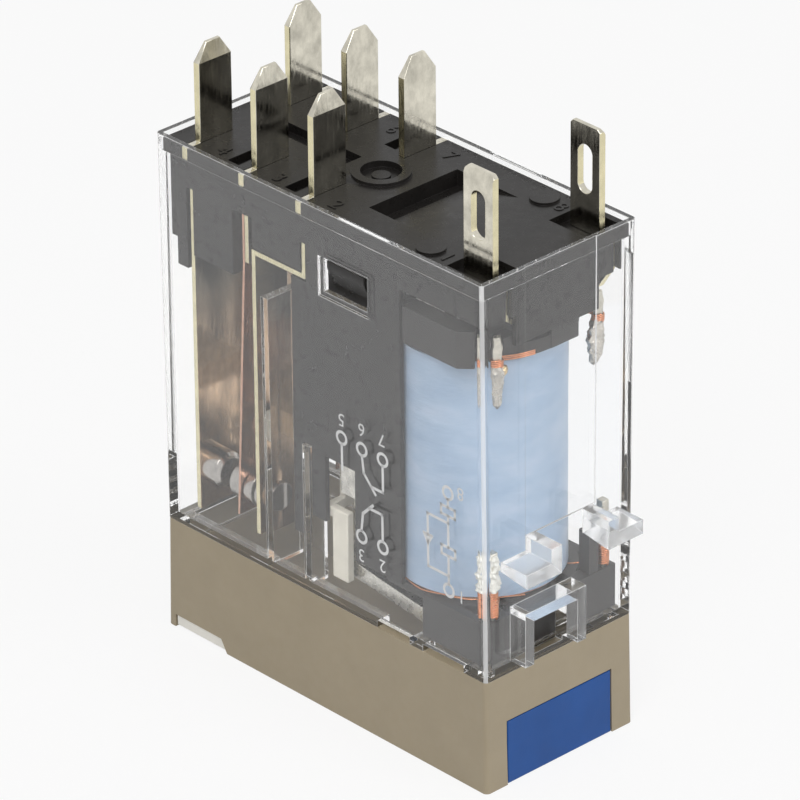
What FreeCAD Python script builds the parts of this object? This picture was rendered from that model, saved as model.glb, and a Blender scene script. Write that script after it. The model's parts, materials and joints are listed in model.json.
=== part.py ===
import FreeCAD, Part
import math
import os
import Sketcher

# Plug-in power relay with two changeover contacts, standing on its cap with the blades up.
# Origin: centre of the cap's resting face. +Z goes up to the blades, +X to the coil end
# with the test lever, and -Y to the long side of terminals 1 to 4. Sizes in millimetres.

doc = FreeCAD.newDocument("PowerRelay")
sheet = doc.addObject("Spreadsheet::Sheet", "Sizes")
pieces = []


class Size:
    """A length that knows its value and the sheet formula behind it."""

    def __init__(self, value, formula):
        self.value = float(value)
        self.formula = formula

    def join(self, sign, other, swap, value):
        other = as_size(other)
        left, right = (other, self) if swap else (self, other)
        return Size(value(left.value, right.value), f"({left.formula} {sign} {right.formula})")

    def __add__(self, other):
        return self.join("+", other, False, lambda a, b: a + b)

    def __radd__(self, other):
        return self.join("+", other, True, lambda a, b: a + b)

    def __sub__(self, other):
        return self.join("-", other, False, lambda a, b: a - b)

    def __rsub__(self, other):
        return self.join("-", other, True, lambda a, b: a - b)

    def __mul__(self, other):
        return self.join("*", other, False, lambda a, b: a * b)

    def __rmul__(self, other):
        return self.join("*", other, True, lambda a, b: a * b)

    def __truediv__(self, other):
        return self.join("/", other, False, lambda a, b: a / b)

    def __neg__(self):
        return Size(-self.value, f"(-1 * {self.formula})")


def as_size(number):
    return number if isinstance(number, Size) else Size(number, repr(float(number)))


def sine(angle):
    return Size(math.sin(math.radians(angle.value)), f"sin({angle.formula})")


def cosine(angle):
    return Size(math.cos(math.radians(angle.value)), f"cos({angle.formula})")


# Cover
cover_length = 29.0  # at its rim, along X
cover_width = 13.0  # at its rim, along Y
rim_height = 35.2  # rim above the resting face
foot_flare = 0.06  # how much further out each end wall stands at the foot
side_draft = 0.22  # how much further in each long wall stands at the foot
cover_wall = 0.6
rim_wall = 0.35  # thin lip round the base
rim_depth = 1.15  # ledge below the rim
cover_corner = 0.3  # rounding of the upright corners
foot_flange = 0.5  # inward flange at the cover's foot, its thickness
tongue_reach = 1.5  # how deep the cover's tongue goes into the cap
tongue_wall = 0.55
fit_gap = 0.08  # clearance between moulded pieces that fit together
panel_inset_near = 3.62  # slide panel on the end wall, from the near side
panel_inset_far = 3.4  # slide panel, from the far side
panel_depth = 0.06

# Lugs, hood and windows of the cover
lug_reach = 2.3  # beyond the end wall
lug_rise = 8.05  # upper face above the cap
lug_root = 0.6  # thickness at the wall
lug_tip = 1.0  # thickness at the tip
lug_inset = 1.52  # outer end of each lug from the cover's side
lug_wide = 3.0
lug_rib = 0.9  # width of the rib on each lug
lug_rib_rise = 1.0
hood_low = -4.2  # near side
hood_high = 1.0  # far side
hood_rise = 4.65  # top above the cap
hood_reach = 1.4  # beyond the end wall
hood_wall = 0.75
hood_foot_rise = 0.85  # lower ends of its sides above the cap
window_start = 0.75  # snap window, from the yoke's face towards the contacts
window_long = 3.85
window_drop = 3.3  # upper edge below the rim
window_tall = 2.3
window_bevel = 0.3  # recess round the snap window, its width
bevel_depth = 0.25
latch_one_start = 2.8  # first latch window, from the coil's axis towards the contacts
latch_one_end = 0.1  # first latch window, its other end from the coil's axis
latch_two_start = 1.3  # second latch window, from the coil's axis
latch_two_end = 4.9

# Inner dividers of the cover
divider_wall = 0.6
divider_one_gap = 1.2  # from the closed contacts' strips
divider_one_drop = 8.2  # top below the rim
divider_one_reach = 2.5
divider_two_gap = 2.85  # from the yoke's face
divider_two_rise = 10.15  # top above the cap
divider_two_reach = 1.4

# Cap
cap_height = 7.85  # top edge above the resting face
cap_longer = 0.4  # resting face longer than the cover's rim
cap_narrower = 0.3  # resting face narrower than the cover's rim
cap_kink = 3.0  # height where the end faces change slope
cap_wall = 0.75
cap_floor = 1.5
cap_corner = 0.35
plate_inset = 0.5  # nameplate recess from the contact end
plate_long = 4.9
plate_deep = 0.9
plate_slant = 0.55
plate_thick = 0.75

# Test lever
lever_inset = 2.05  # lever's side from the cover's side
lever_top = 4.45  # top edge of the front
lever_front = 1.1  # thickness of the front
lever_foot = 0.95  # thickness of the foot
lever_lift = 0.04  # foot above the resting face
lever_pin_inset = 5.2  # pins from the end of the cover
lever_pin_r = 0.35
lever_pin_reach = 0.5  # each pin beyond the lever's side
pin_play = 0.05  # radial clearance of the pins

# Base
base_sink = 0.3  # face below the cover's rim
plug_thick = 2.1  # plate below the flange
skirt_inset = 0.9  # outer face of the skirts from the cover's side
skirt_wall = 0.35
wall_reach = 4.1  # side wall from the yoke's face towards the contacts
wall_step = 1.25  # step in its lower edge, from the yoke's face
wall_step_rise = 1.7
wall_gap = 0.25  # between the side wall and the bobbin's cheek
front_skirt_drop = 5.3  # lower edge below the rim
front_skirt_low = -3.25
front_skirt_high = 3.7
end_post_drop = 8.9  # lower end of the end posts below the rim
end_step_drop = 7.0
pillar_drop = 7.8
trough_half = 0.7  # half the trough between the blade rows
ring_gap = 0.75  # round boss from the blades nearest the coil
ring_outer = 1.9
ring_inner = 1.3
ring_rise = 0.22
dimple_r = 0.6
recess_start = 0.6  # recess in the base's face, from the yoke's face
recess_deep_long = 1.4
recess_long = 5.4
recess_inset = 2.8  # side of the recess from the cover's side
recess_deep = 1.1
recess_ramp = 0.6  # depth at the step
pad_shift = 0.65  # round pads from the coil's axis
pad_inset = 1.75
pad_r = 0.95
pad_rise = 0.15

# Contact blades and strips
blade_pitch = 5.15
open_inset = 2.4  # outermost blades from the contact end
blade_inset = 2.72  # middle of the blades from the cover's side
blade_wide = 2.7
blade_thick = 0.5
blade_rise = 6.6  # above the base's face
tip_long = 1.25
tip_wide = 1.1
tip_thick = 0.22
strip_inset = 1.0  # outer edge of the strips from the cover's side
strip_wide = 2.65
open_strip_wide = 4.6  # the open contacts' strips reach nearer to the middle
strip_thick = 0.35
open_foot_rise = 1.45  # open contacts' strips above the cap
closed_foot_rise = 1.85  # closed contacts' strips above the cap
closed_shift = 4.55  # closed contacts' strips from their blades
closed_bend_drop = 5.55
common_drop = 6.6
slot_play = 0.02  # clearance round a strip in the base

# Coil terminals
coil_blade_inset = 2.15  # middle from the coil end
coil_blade_side = 2.05  # middle from the cover's side
coil_blade_wide = 2.5
eye_wide = 1.2
eye_long = 3.25
eye_drop = 1.35
seat_deep = 0.6
tail_inset = 1.35  # tails under the base, from the coil end
tail_wide = 0.6
tail_bend_drop = 3.3
tail_slant = 0.8
tail_reach = 1.0
near_tail_shift = 0.6  # near tail from its blade, towards the middle
far_tail_shift = 0.75  # far tail from its blade, towards the side

# Coil
coil_inset = 1.6  # tape from the coil end
tape_inset = 1.3  # tape from the cover's side
tape_thick = 0.2
tape_gap = 0.4  # tape below the upper flange
tube_r = 2.6
flange_proud = 0.6  # flanges beyond the tape
lower_flange_thick = 0.6
upper_flange_thick = 0.95
flange_drop = 6.75  # upper flange below the rim
bobbin_inset = 1.65  # head block from the cover's side
bobbin_back = 0.4  # head block beyond the tape's side, short of it
head_inset = 2.05  # head block from the coil end
cheek_start = 0.7  # cheeks from the coil's axis
guide_inset = 0.95  # wire guide on the upper flange, from the coil end
guide_wide = 2.3
ear_long = 4.0
ear_chamfer = 0.7
seat_drop = 5.4
seat_inset = 3.6
pole_rise = 2.55  # pole face above the cap
pole_thick = 0.5
pole_r = 3.2
core_r = 2.0
stake_r = 1.3
foot_block_inset = 0.8  # foot block from the coil end
foot_block_wall = 1.0
foot_block_side = 1.1
foot_block_rise = 0.65  # above the cap
cheek_wall = 0.6
tower_rise = 2.9
tower_wide = 0.8
tower_inset = 2.5

# Yoke, armature and hinge spring
yoke_gap = 0.3  # tape from the yoke
yoke_thick = 1.0
yoke_inset = 2.1
ear_rise = 5.3  # ears above the pole face
ear_tall = 2.05
ear_wide = 1.35
ear_inset = 1.05
tab_shift = 0.2  # side tabs of the upper arm, from the coil's axis
tab_long = 1.9
tab_drop = 0.4  # thickness of the tabs
armature_swing = 7.0  # stroke in degrees
armature_thick = 0.95
armature_reach = 10.3
hinge_play = 0.04  # armature below the yoke's edge
arm_gap = 0.45  # arm from the yoke
arm_rise = 6.6  # arm's upper end above the pole face
arm_half = 2.6
leaf_thick = 0.2
leaf_half = 1.4
leaf_rise = 10.6
leaf_play = 0.35  # room round the hinge spring in the armature
leaf_curl = 1.3

# Card and contact springs
card_slot = 0.04  # play between the card and the arm
card_rise = 4.4  # under side above the pole face
card_tall = 1.6
card_half = 1.8
card_bar = 0.7
card_bar_tall = 0.9
card_bar_inset = 2.7
card_bridge = 0.5
card_gap = 0.1  # push bar from the contact springs
card_leg_shift = 1.15  # legs from the yoke's face
card_leg_rise = 1.35  # legs above the cap
card_leg_top = 3.7  # legs' shoulder above the pole face
card_leg_wide = 1.4
card_leg_thick = 0.55
spring_thick = 0.18
spring_drop = 3.3
spring_lean = 0.95  # how far the springs lean outwards at their foot
contact_rise = 1.7  # contacts above the pole face
contact_r = 1.2
shank_r = 0.6
stake_head = 0.25
open_head = 1.45
moving_head = 1.2
closed_head = 0.65
contact_touch = 0.02  # closed contacts' faces apart
contact_edge = 0.3
rivet_drop = 4.15
rivet_r = 0.7

# Coil pins and tap posts
pin_inset = 1.3
pin_side = 2.25
pin_wide = 0.6
pin_thick = 0.45
pin_drop = 4.5
pin_long = 4.9
solder_drop = 3.1
solder_r = 0.55
post_side = 1.75
post_sink = 2.5  # posts below the foot block's top
post_rise = 4.6
post_half = 0.28  # half their thickness
tap_tall = 1.9
wrap_r = 0.55


def as_cells(named):
    """Write every size above into the sheet and give each back with its cell's formula."""
    sizes = [(alias, value) for alias, value in named.items() if isinstance(value, float)]
    for row, (alias, value) in enumerate(sizes, start=1):
        sheet.set(f"A{row}", str(value))
        sheet.set(f"B{row}", alias.replace("_", " "))
        sheet.setAlias(f"A{row}", alias)
    return {alias: Size(value, f"Sizes.{alias}") for alias, value in sizes}


globals().update(as_cells(dict(globals())))

# Places across and along the cover
half_length = cover_length / 2
half_width = cover_width / 2
foot_half_length = half_length + foot_flare
foot_half_width = half_width - side_draft
tongue_half_length = foot_half_length - cap_wall - fit_gap
tongue_half_width = foot_half_width - cap_wall - fit_gap
cap_length = cover_length + cap_longer
cap_width = cover_width - cap_narrower
tape_r = half_width - tape_inset
winding_r = tape_r - tape_thick
flange_r = tape_r + flange_proud
coil_x = half_length - tape_r - coil_inset
yoke_right = coil_x - tape_r - yoke_gap
yoke_left = yoke_right - yoke_thick
yoke_half = half_width - yoke_inset
ear_reach = half_width - ear_inset
open_x = open_inset - half_length
common_x = open_x + blade_pitch
closed_x = common_x + blade_pitch
closed_strip_x = closed_x - closed_shift
divider_one_x = closed_strip_x + divider_one_gap
divider_two_x = yoke_left - divider_two_gap
window_low = yoke_left - window_start
window_high = window_low + window_long
latch_windows = (
    (coil_x - latch_one_start, coil_x + latch_one_end),
    (coil_x + latch_two_start, coil_x + latch_two_end),
)
panel_low = panel_inset_near - half_width
panel_high = half_width - panel_inset_far
lug_outer = half_width - lug_inset
lug_inner = lug_outer - lug_wide
plate_low = plate_inset - half_length
plate_high = plate_low + plate_long
lever_half = half_width - lever_inset
lever_pin_x = half_length - lever_pin_inset
skirt_half = half_width - skirt_inset
ring_x = closed_x + ring_gap
recess_left = yoke_left + recess_start
recess_step = recess_left + recess_deep_long
recess_right = recess_left + recess_long
recess_half = half_width - recess_inset
pad_x = coil_x + pad_shift
pad_y = half_width - pad_inset
blade_y = half_width - blade_inset
strip_near = half_width - strip_inset
strip_far = strip_near - strip_wide
open_strip_far = strip_near - open_strip_wide
coil_blade_x = half_length - coil_blade_inset
coil_blade_y = half_width - coil_blade_side
tail_x = half_length - tail_inset
bobbin_half = half_width - bobbin_inset
bobbin_left = coil_x - tape_r + bobbin_back
bobbin_right = half_length - head_inset
guide_x = half_length - guide_inset
ear_left = coil_x - cheek_start
ear_right = ear_left + ear_long + cheek_start
flange_half = skirt_half - skirt_wall - fit_gap
seat_inner = half_width - seat_inset
front_block_x = half_length - foot_block_inset
front_block_half = half_width - foot_block_side
tower_high = half_width - tower_inset
wall_left = yoke_left - wall_reach
wall_mid_x = yoke_left - wall_step
wall_right = ear_left - wall_gap
arm_right = yoke_left - arm_gap
arm_left = arm_right - armature_thick
card_bar_half = half_width - card_bar_inset
card_leg_outer = flange_half
card_leg_inner = card_leg_outer - card_leg_thick
card_leg_left = yoke_left - card_leg_shift
pin_x = half_length - pin_inset
pin_y = half_width - pin_side
post_y = half_width - post_side

# Heights measured down from the rim
ledge_z = rim_height - rim_depth
base_z = rim_height - base_sink
plug_z = ledge_z - plug_thick
yoke_under = plug_z - yoke_thick
tip_z = base_z + blade_rise
window_head = rim_height - window_drop
window_foot = window_head - window_tall
divider_one_top = rim_height - divider_one_drop
front_skirt_foot = rim_height - front_skirt_drop
end_post_foot = rim_height - end_post_drop
end_post_step = rim_height - end_step_drop
pillar_foot = rim_height - pillar_drop
closed_bend_z = rim_height - closed_bend_drop
common_foot = rim_height - common_drop
tail_bend = rim_height - tail_bend_drop
tail_foot = tail_bend - tail_slant
upper_flange_foot = rim_height - flange_drop
upper_flange_top = upper_flange_foot + upper_flange_thick
tape_top = upper_flange_foot - tape_gap
seat_foot = rim_height - seat_drop
spring_top = rim_height - spring_drop
rivet_z = rim_height - rivet_drop
pin_top = rim_height - pin_drop
pin_foot = pin_top - pin_long
solder_z = pin_top - solder_drop

# Heights measured up from the cap
divider_two_top = cap_height + divider_two_rise
lug_top = cap_height + lug_rise
hood_top = cap_height + hood_rise
open_foot = cap_height + open_foot_rise
closed_foot = cap_height + closed_foot_rise
pole_z = cap_height + pole_rise
edge_z = pole_z - hinge_play
lower_flange_z = pole_z + pole_thick
winding_foot = lower_flange_z + lower_flange_thick
wall_foot = winding_foot
wall_mid_foot = wall_foot + wall_step_rise
front_block_foot = cap_height + foot_block_rise
tower_top = winding_foot + tower_rise
ear_low = pole_z + ear_rise
ear_high = ear_low + ear_tall
arm_top = pole_z + arm_rise
leaf_top = pole_z + leaf_rise
card_low = pole_z + card_rise
card_high = card_low + card_tall
card_leg_low = cap_height + card_leg_rise
card_leg_high = pole_z + card_leg_top
spring_foot = pole_z
contact_z = pole_z + contact_rise
post_foot = winding_foot - post_sink
post_top = winding_foot + post_rise
tap_z = winding_foot + tap_tall
lever_pin_z = lever_lift + lever_foot / 2

# Leaning contact springs
spring_root_x = common_x - blade_thick / 2 - spring_thick
spring_length = common_foot - spring_foot
contact_lean = spring_lean * (common_foot - contact_z) / spring_length
contact_spring_x = spring_root_x - contact_lean
card_lean = spring_lean * (common_foot - card_high) / spring_length
card_push_x = spring_root_x + spring_thick - card_lean


def new_body(label):
    """One piece of the relay; its label is its node's name."""
    body = doc.addObject("PartDesign::Body", label)
    body.Label = label
    pieces.append(body)
    return body


def plane_of(body, role):
    return [face for face in body.Origin.OriginFeatures if face.Role == role][0]


def new_sketch(body, plane, offset):
    """An empty sketch on one of the body's own planes, moved along the plane's normal."""
    sketch = body.newObject("Sketcher::SketchObject", body.Name + "_sketch")
    sketch.AttachmentSupport = [(plane_of(body, plane), "")]
    sketch.MapMode = "FlatFace"
    sketch.setExpression(".AttachmentOffset.Base.z", as_size(offset).formula)
    return sketch


def place_point(sketch, geometry, point, position):
    """Tie one point of the sketch to sheet-driven distances from the origin."""
    for kind, axis, place in (("DistanceX", -2, position[0]), ("DistanceY", -1, position[1])):
        place = as_size(place)
        if abs(place.value) < 1e-9:
            sketch.addConstraint(Sketcher.Constraint("PointOnObject", geometry, point, axis))
            continue
        index = sketch.addConstraint(
            Sketcher.Constraint(kind, -1, 1, geometry, point, place.value)
        )
        sketch.setExpression(f"Constraints[{index}]", place.formula)


def outline(*corners):
    """A closed outline of straight edges through the corners."""
    corners = [(as_size(u), as_size(v)) for u, v in corners]

    def draw(sketch):
        spots = [FreeCAD.Vector(u.value, v.value, 0) for u, v in corners]
        count = len(spots)
        first = sketch.GeometryCount
        lines = [Part.LineSegment(spots[i], spots[(i + 1) % count]) for i in range(count)]
        sketch.addGeometry(lines, False)
        joins = [
            Sketcher.Constraint("Coincident", first + i, 2, first + (i + 1) % count, 1)
            for i in range(count)
        ]
        sketch.addConstraint(joins)
        for i, corner in enumerate(corners):
            place_point(sketch, first + i, 1, corner)

    return draw


def box(left, right, low, high):
    """A rectangular outline."""
    return outline((left, low), (right, low), (right, high), (left, high))


def rounded(half_u, half_v, radius):
    """A rectangle about the middle with round corners."""
    half_u, half_v, radius = as_size(half_u), as_size(half_v), as_size(radius)

    def draw(sketch):
        r = radius.value
        u, v = half_u.value - r, half_v.value - r
        spots = [(u, -v, 1), (u, v, 0), (-u, v, 1), (-u, -v, 0)]
        up = FreeCAD.Vector(0, 0, 1)
        for i, (cu, cv, across) in enumerate(spots):
            centre = FreeCAD.Vector(cu, cv, 0)
            start = (i - 1) * math.pi / 2
            arc = Part.ArcOfCircle(Part.Circle(centre, up, r), start, start + math.pi / 2)
            sketch.addGeometry(arc, False)
        for i in range(4):
            tail = sketch.Geometry[i].EndPoint
            head = sketch.Geometry[(i + 1) % 4].StartPoint
            sketch.addGeometry(Part.LineSegment(tail, head), False)
        for i in range(4):
            sketch.addConstraint(Sketcher.Constraint("Tangent", i, 2, 4 + i, 1))
            sketch.addConstraint(Sketcher.Constraint("Tangent", 4 + i, 2, (i + 1) % 4, 1))
            sign_u = 1 if spots[i][0] > 0 else -1
            sign_v = 1 if spots[i][1] > 0 else -1
            place_point(sketch, i, 3, (sign_u * (half_u - radius), sign_v * (half_v - radius)))
        for i in range(1, 4):
            sketch.addConstraint(Sketcher.Constraint("Equal", 0, i))
        fixed = sketch.addConstraint(Sketcher.Constraint("Radius", 0, r))
        sketch.setExpression(f"Constraints[{fixed}]", radius.formula)

    return draw


def disc(centre_u, centre_v, radius):
    """A round outline."""
    centre_u, centre_v, radius = as_size(centre_u), as_size(centre_v), as_size(radius)

    def draw(sketch):
        centre = FreeCAD.Vector(centre_u.value, centre_v.value, 0)
        circle = Part.Circle(centre, FreeCAD.Vector(0, 0, 1), radius.value)
        index = sketch.addGeometry(circle, False)
        place_point(sketch, index, 3, (centre_u, centre_v))
        fixed = sketch.addConstraint(Sketcher.Constraint("Radius", index, radius.value))
        sketch.setExpression(f"Constraints[{fixed}]", radius.formula)

    return draw


def oblong(centre, low, high, radius):
    """An upright slot with round ends, from low to high."""
    centre, low, high, radius = [as_size(value) for value in (centre, low, high, radius)]

    def draw(sketch):
        up = FreeCAD.Vector(0, 0, 1)
        top = FreeCAD.Vector(centre.value, (high - radius).value, 0)
        foot = FreeCAD.Vector(centre.value, (low + radius).value, 0)
        side = FreeCAD.Vector(radius.value, 0, 0)
        arc_top = Part.ArcOfCircle(Part.Circle(top, up, radius.value), 0, math.pi)
        arc_foot = Part.ArcOfCircle(Part.Circle(foot, up, radius.value), math.pi, 2 * math.pi)
        left = Part.LineSegment(top - side, foot - side)
        right = Part.LineSegment(foot + side, top + side)
        sketch.addGeometry([arc_top, left, arc_foot, right], False)
        for i in range(4):
            touch = Sketcher.Constraint("Tangent", i, 2, (i + 1) % 4, 1)
            sketch.addConstraint(touch)
        sketch.addConstraint(Sketcher.Constraint("Equal", 0, 2))
        place_point(sketch, 0, 3, (centre, high - radius))
        place_point(sketch, 2, 3, (centre, low + radius))
        fixed = sketch.addConstraint(Sketcher.Constraint("Radius", 0, radius.value))
        sketch.setExpression(f"Constraints[{fixed}]", radius.formula)

    return draw


def extrude(kind, body, plane, low, high, *shapes):
    """A pad or pocket of the outlines between low and high along the plane's axis."""
    low, high = as_size(low), as_size(high)
    if plane == "XZ_Plane":
        offset = -high if kind == "Pad" else -low
    else:
        offset = low if kind == "Pad" else high
    sketch = new_sketch(body, plane, offset)
    for draw in shapes:
        draw(sketch)
    feature = body.newObject("PartDesign::" + kind, body.Name + "_" + kind.lower())
    feature.Profile = sketch
    feature.setExpression("Length", (high - low).formula)
    sketch.Visibility = False
    return feature


def pad(body, plane, low, high, *shapes):
    return extrude("Pad", body, plane, low, high, *shapes)


def pocket(body, plane, low, high, *shapes):
    return extrude("Pocket", body, plane, low, high, *shapes)


def loft(kind, body, corner, *sections):
    """A straight-sided loft through rounded rectangles given as height and half sizes."""
    sketches = []
    for height, half_x, half_y in sections:
        sketch = new_sketch(body, "XY_Plane", height)
        rounded(half_x, half_y, corner)(sketch)
        sketches.append(sketch)
    feature = body.newObject("PartDesign::" + kind, body.Name + "_loft")
    feature.Profile = sketches[0]
    feature.Sections = sketches[1:]
    feature.Ruled = True
    return feature


def dress(kind, body, size, wanted):
    """Round or chamfer the tip's edges that the test picks."""
    doc.recompute()
    base = body.Tip
    names = [
        f"Edge{number}"
        for number, edge in enumerate(base.Shape.Edges, start=1)
        if wanted(edge)
    ]
    feature = body.newObject("PartDesign::" + kind, body.Name + "_" + kind.lower())
    feature.Base = (base, names)
    feature.setExpression("Radius" if kind == "Fillet" else "Size", as_size(size).formula)
    return feature


def span(side, inner, outer):
    """Low and high Y of a stretch on one side of the middle plane."""
    return (as_size(inner), as_size(outer)) if side > 0 else (-as_size(outer), -as_size(inner))


SIDES = (("near", -1), ("far", 1))


def make_cover():
    body = new_body("clear_cover")
    loft(
        "AdditiveLoft",
        body,
        cover_corner,
        (cap_height, foot_half_length, foot_half_width),
        (rim_height, half_length, half_width),
    )
    loft(
        "SubtractiveLoft",
        body,
        cover_corner,
        (cap_height + foot_flange, foot_half_length - cover_wall, foot_half_width - cover_wall),
        (rim_height, half_length - cover_wall, half_width - cover_wall),
    )
    lip_x = half_length - rim_wall
    lip_y = half_width - rim_wall
    pocket(body, "XY_Plane", ledge_z, rim_height, box(-lip_x, lip_x, -lip_y, lip_y))
    tongue_foot = cap_height - tongue_reach
    pad(
        body,
        "XY_Plane",
        tongue_foot,
        cap_height,
        box(-tongue_half_length, tongue_half_length, -tongue_half_width, tongue_half_width),
    )
    mouth_x = tongue_half_length - tongue_wall
    mouth_y = tongue_half_width - tongue_wall
    pocket(
        body,
        "XY_Plane",
        tongue_foot,
        cap_height + foot_flange,
        box(-mouth_x, mouth_x, -mouth_y, mouth_y),
    )
    make_cover_lugs(body)
    make_cover_hood(body)
    for name, side in SIDES:
        make_cover_dividers(body, side)
        make_snap_window(body, side)
        gap_low, gap_high = span(side, mouth_y, half_width)
        for left, right in latch_windows:
            slot = box(left, right, gap_low, gap_high)
            pocket(body, "XY_Plane", cap_height, cap_height + foot_flange, slot)
    pocket(
        body,
        "YZ_Plane",
        half_length - panel_depth,
        half_length + panel_depth,
        box(panel_low, panel_high, lug_top + lug_rib_rise, rim_height),
    )


def make_cover_lugs(body):
    root = half_length - cover_wall / 2
    tip = half_length + lug_reach
    slab = outline(
        (root, lug_top - lug_root),
        (tip, lug_top - lug_tip),
        (tip, lug_top),
        (root, lug_top),
    )
    rib = box(root, tip, lug_top - lug_root / 2, lug_top + lug_rib_rise)
    for name, side in SIDES:
        pad(body, "XZ_Plane", *span(side, lug_inner, lug_outer), slab)
        pad(body, "XZ_Plane", *span(side, lug_inner, lug_inner + lug_rib), rib)


def make_cover_hood(body):
    root = half_length - cover_wall / 2
    front = half_length + hood_reach
    hood_foot = cap_height + hood_foot_rise
    pad(body, "YZ_Plane", root, front, box(hood_low, hood_high, hood_foot, hood_top))
    inner_foot = cap_height + foot_flange
    opening = box(hood_low + hood_wall, hood_high - hood_wall, inner_foot, hood_top - hood_wall)
    pocket(body, "YZ_Plane", half_length - 2 * cover_wall, front + fit_gap, opening)


def make_cover_dividers(body, side):
    foot = cap_height + foot_flange / 2
    outer = half_width - side_draft / 2 - cover_wall / 2
    inner = foot_half_width - cover_wall
    half = divider_wall / 2
    one = box(divider_one_x - half, divider_one_x + half, foot, divider_one_top)
    two = box(divider_two_x - half, divider_two_x + half, foot, divider_two_top)
    pad(body, "XZ_Plane", *span(side, inner - divider_one_reach, outer), one)
    pad(body, "XZ_Plane", *span(side, inner - divider_two_reach, outer), two)


def make_snap_window(body, side):
    opening = box(window_low, window_high, window_foot, window_head)
    rim = box(
        window_low - window_bevel,
        window_high + window_bevel,
        window_foot - window_bevel,
        window_head + window_bevel / 2,
    )
    inside = half_width - 2 * cover_wall
    pocket(body, "XZ_Plane", *span(side, inside, half_width), opening)
    pocket(body, "XZ_Plane", *span(side, half_width - bevel_depth, half_width), rim)


def make_cap():
    body = new_body("cap")
    half_x = cap_length / 2
    half_y = cap_width / 2
    mid_x = foot_half_length + (half_x - foot_half_length) / 3
    loft(
        "AdditiveLoft",
        body,
        cap_corner,
        (0, half_x, half_y),
        (cap_kink, mid_x, (half_y + foot_half_width) / 2),
        (cap_height, foot_half_length, foot_half_width),
    )
    inner_x = foot_half_length - cap_wall
    inner_y = foot_half_width - cap_wall
    pocket(body, "XY_Plane", cap_floor, cap_height, box(-inner_x, inner_x, -inner_y, inner_y))
    notch = outline(
        (plate_low, 0),
        (plate_high, 0),
        (plate_high - plate_slant, plate_deep),
        (plate_low, plate_deep),
    )
    pocket(body, "XZ_Plane", -cap_width, cap_width, notch)
    room = lever_half + fit_gap
    front = outline(
        (lever_pin_x - lever_foot, 0),
        (cap_length, 0),
        (cap_length, lever_top + fit_gap),
        (half_x - lever_front - 2 * fit_gap - cap_wall / 2, lever_top + fit_gap),
        (half_x - lever_front - 2 * fit_gap - cap_wall / 2, lever_foot + lever_lift + fit_gap),
        (lever_pin_x - lever_foot, lever_foot + lever_lift + fit_gap),
    )
    pocket(body, "XZ_Plane", -room, room, front)
    bearing = disc(lever_pin_x, lever_pin_z, lever_pin_r + pin_play)
    deep = lever_half + lever_pin_reach + fit_gap
    pocket(body, "XZ_Plane", -deep, deep, bearing)


def make_nameplate():
    body = new_body("nameplate")
    top = plate_deep
    low = plate_deep - plate_thick
    slant = plate_slant * plate_thick / plate_deep
    side = outline(
        (plate_low + fit_gap, low),
        (plate_high - plate_slant + slant - fit_gap, low),
        (plate_high - plate_slant - fit_gap, top),
        (plate_low + fit_gap, top),
    )
    half = cap_width / 2 - fit_gap
    pad(body, "XZ_Plane", -half, half, side)


def make_lever():
    body = new_body("test_lever")
    half_x = cap_length / 2
    mid_x = foot_half_length + (half_x - foot_half_length) / 3
    high_x = foot_half_length + (mid_x - foot_half_length) * (cap_height - lever_top) / (
        cap_height - cap_kink
    )
    inner = half_x - lever_front
    profile = outline(
        (lever_pin_x, lever_lift),
        (half_x - fit_gap / 2, lever_lift),
        (mid_x, cap_kink),
        (high_x, lever_top),
        (inner, lever_top),
        (inner, lever_foot + lever_lift),
        (lever_pin_x, lever_foot + lever_lift),
    )
    pad(body, "XZ_Plane", -lever_half, lever_half, profile)
    heel = disc(lever_pin_x, lever_pin_z, lever_foot / 2)
    pad(body, "XZ_Plane", -lever_half, lever_half, heel)
    reach = lever_half + lever_pin_reach
    pad(body, "XZ_Plane", -reach, reach, disc(lever_pin_x, lever_pin_z, lever_pin_r))


def strip_faces(x):
    """Both faces of a contact strip: it is flush with the blade on its contact's side."""
    half = blade_thick / 2
    if x is open_x:
        return x + half - strip_thick, x + half
    return x - half, x - half + strip_thick


def strip_reach(x):
    """The edge of a contact strip that is nearer to the middle."""
    return open_strip_far if x is open_x else strip_far


def contact_terminal(label, side, x, foot, bend=None):
    """A contact blade with its shoulder and the strip under the base."""
    body = new_body(label)
    half = blade_thick / 2
    low, high = strip_faces(x)
    inner = blade_y - blade_wide / 2
    outer = blade_y + blade_wide / 2
    shoulder = half_width - rim_wall - fit_gap
    tip_inner = blade_y - tip_wide / 2
    tip_outer = blade_y + tip_wide / 2
    strip = box(*span(side, strip_reach(x), strip_near), foot, ledge_z)
    pad(body, "YZ_Plane", low, high, strip)
    edge = [
        (shoulder, ledge_z),
        (shoulder, base_z),
        (outer, base_z),
        (outer, tip_z - tip_long),
        (tip_outer, tip_z),
        (tip_inner, tip_z),
        (inner, tip_z - tip_long),
        (inner, ledge_z),
    ]
    blade = outline(*[(side * as_size(y), z) for y, z in edge])
    pad(body, "YZ_Plane", x - half, x + half, blade)
    if bend:
        pad(body, "XZ_Plane", *span(side, strip_far, strip_near), bend)
    for sign in (-1, 1):
        face = x + sign * half
        wedge = outline(
            (face, tip_z - tip_long),
            (face + sign * half, tip_z - tip_long),
            (face + sign * half, tip_z),
            (x + sign * tip_thick / 2, tip_z),
        )
        pocket(body, "XZ_Plane", *span(side, inner, outer), wedge)
    return body


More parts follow.
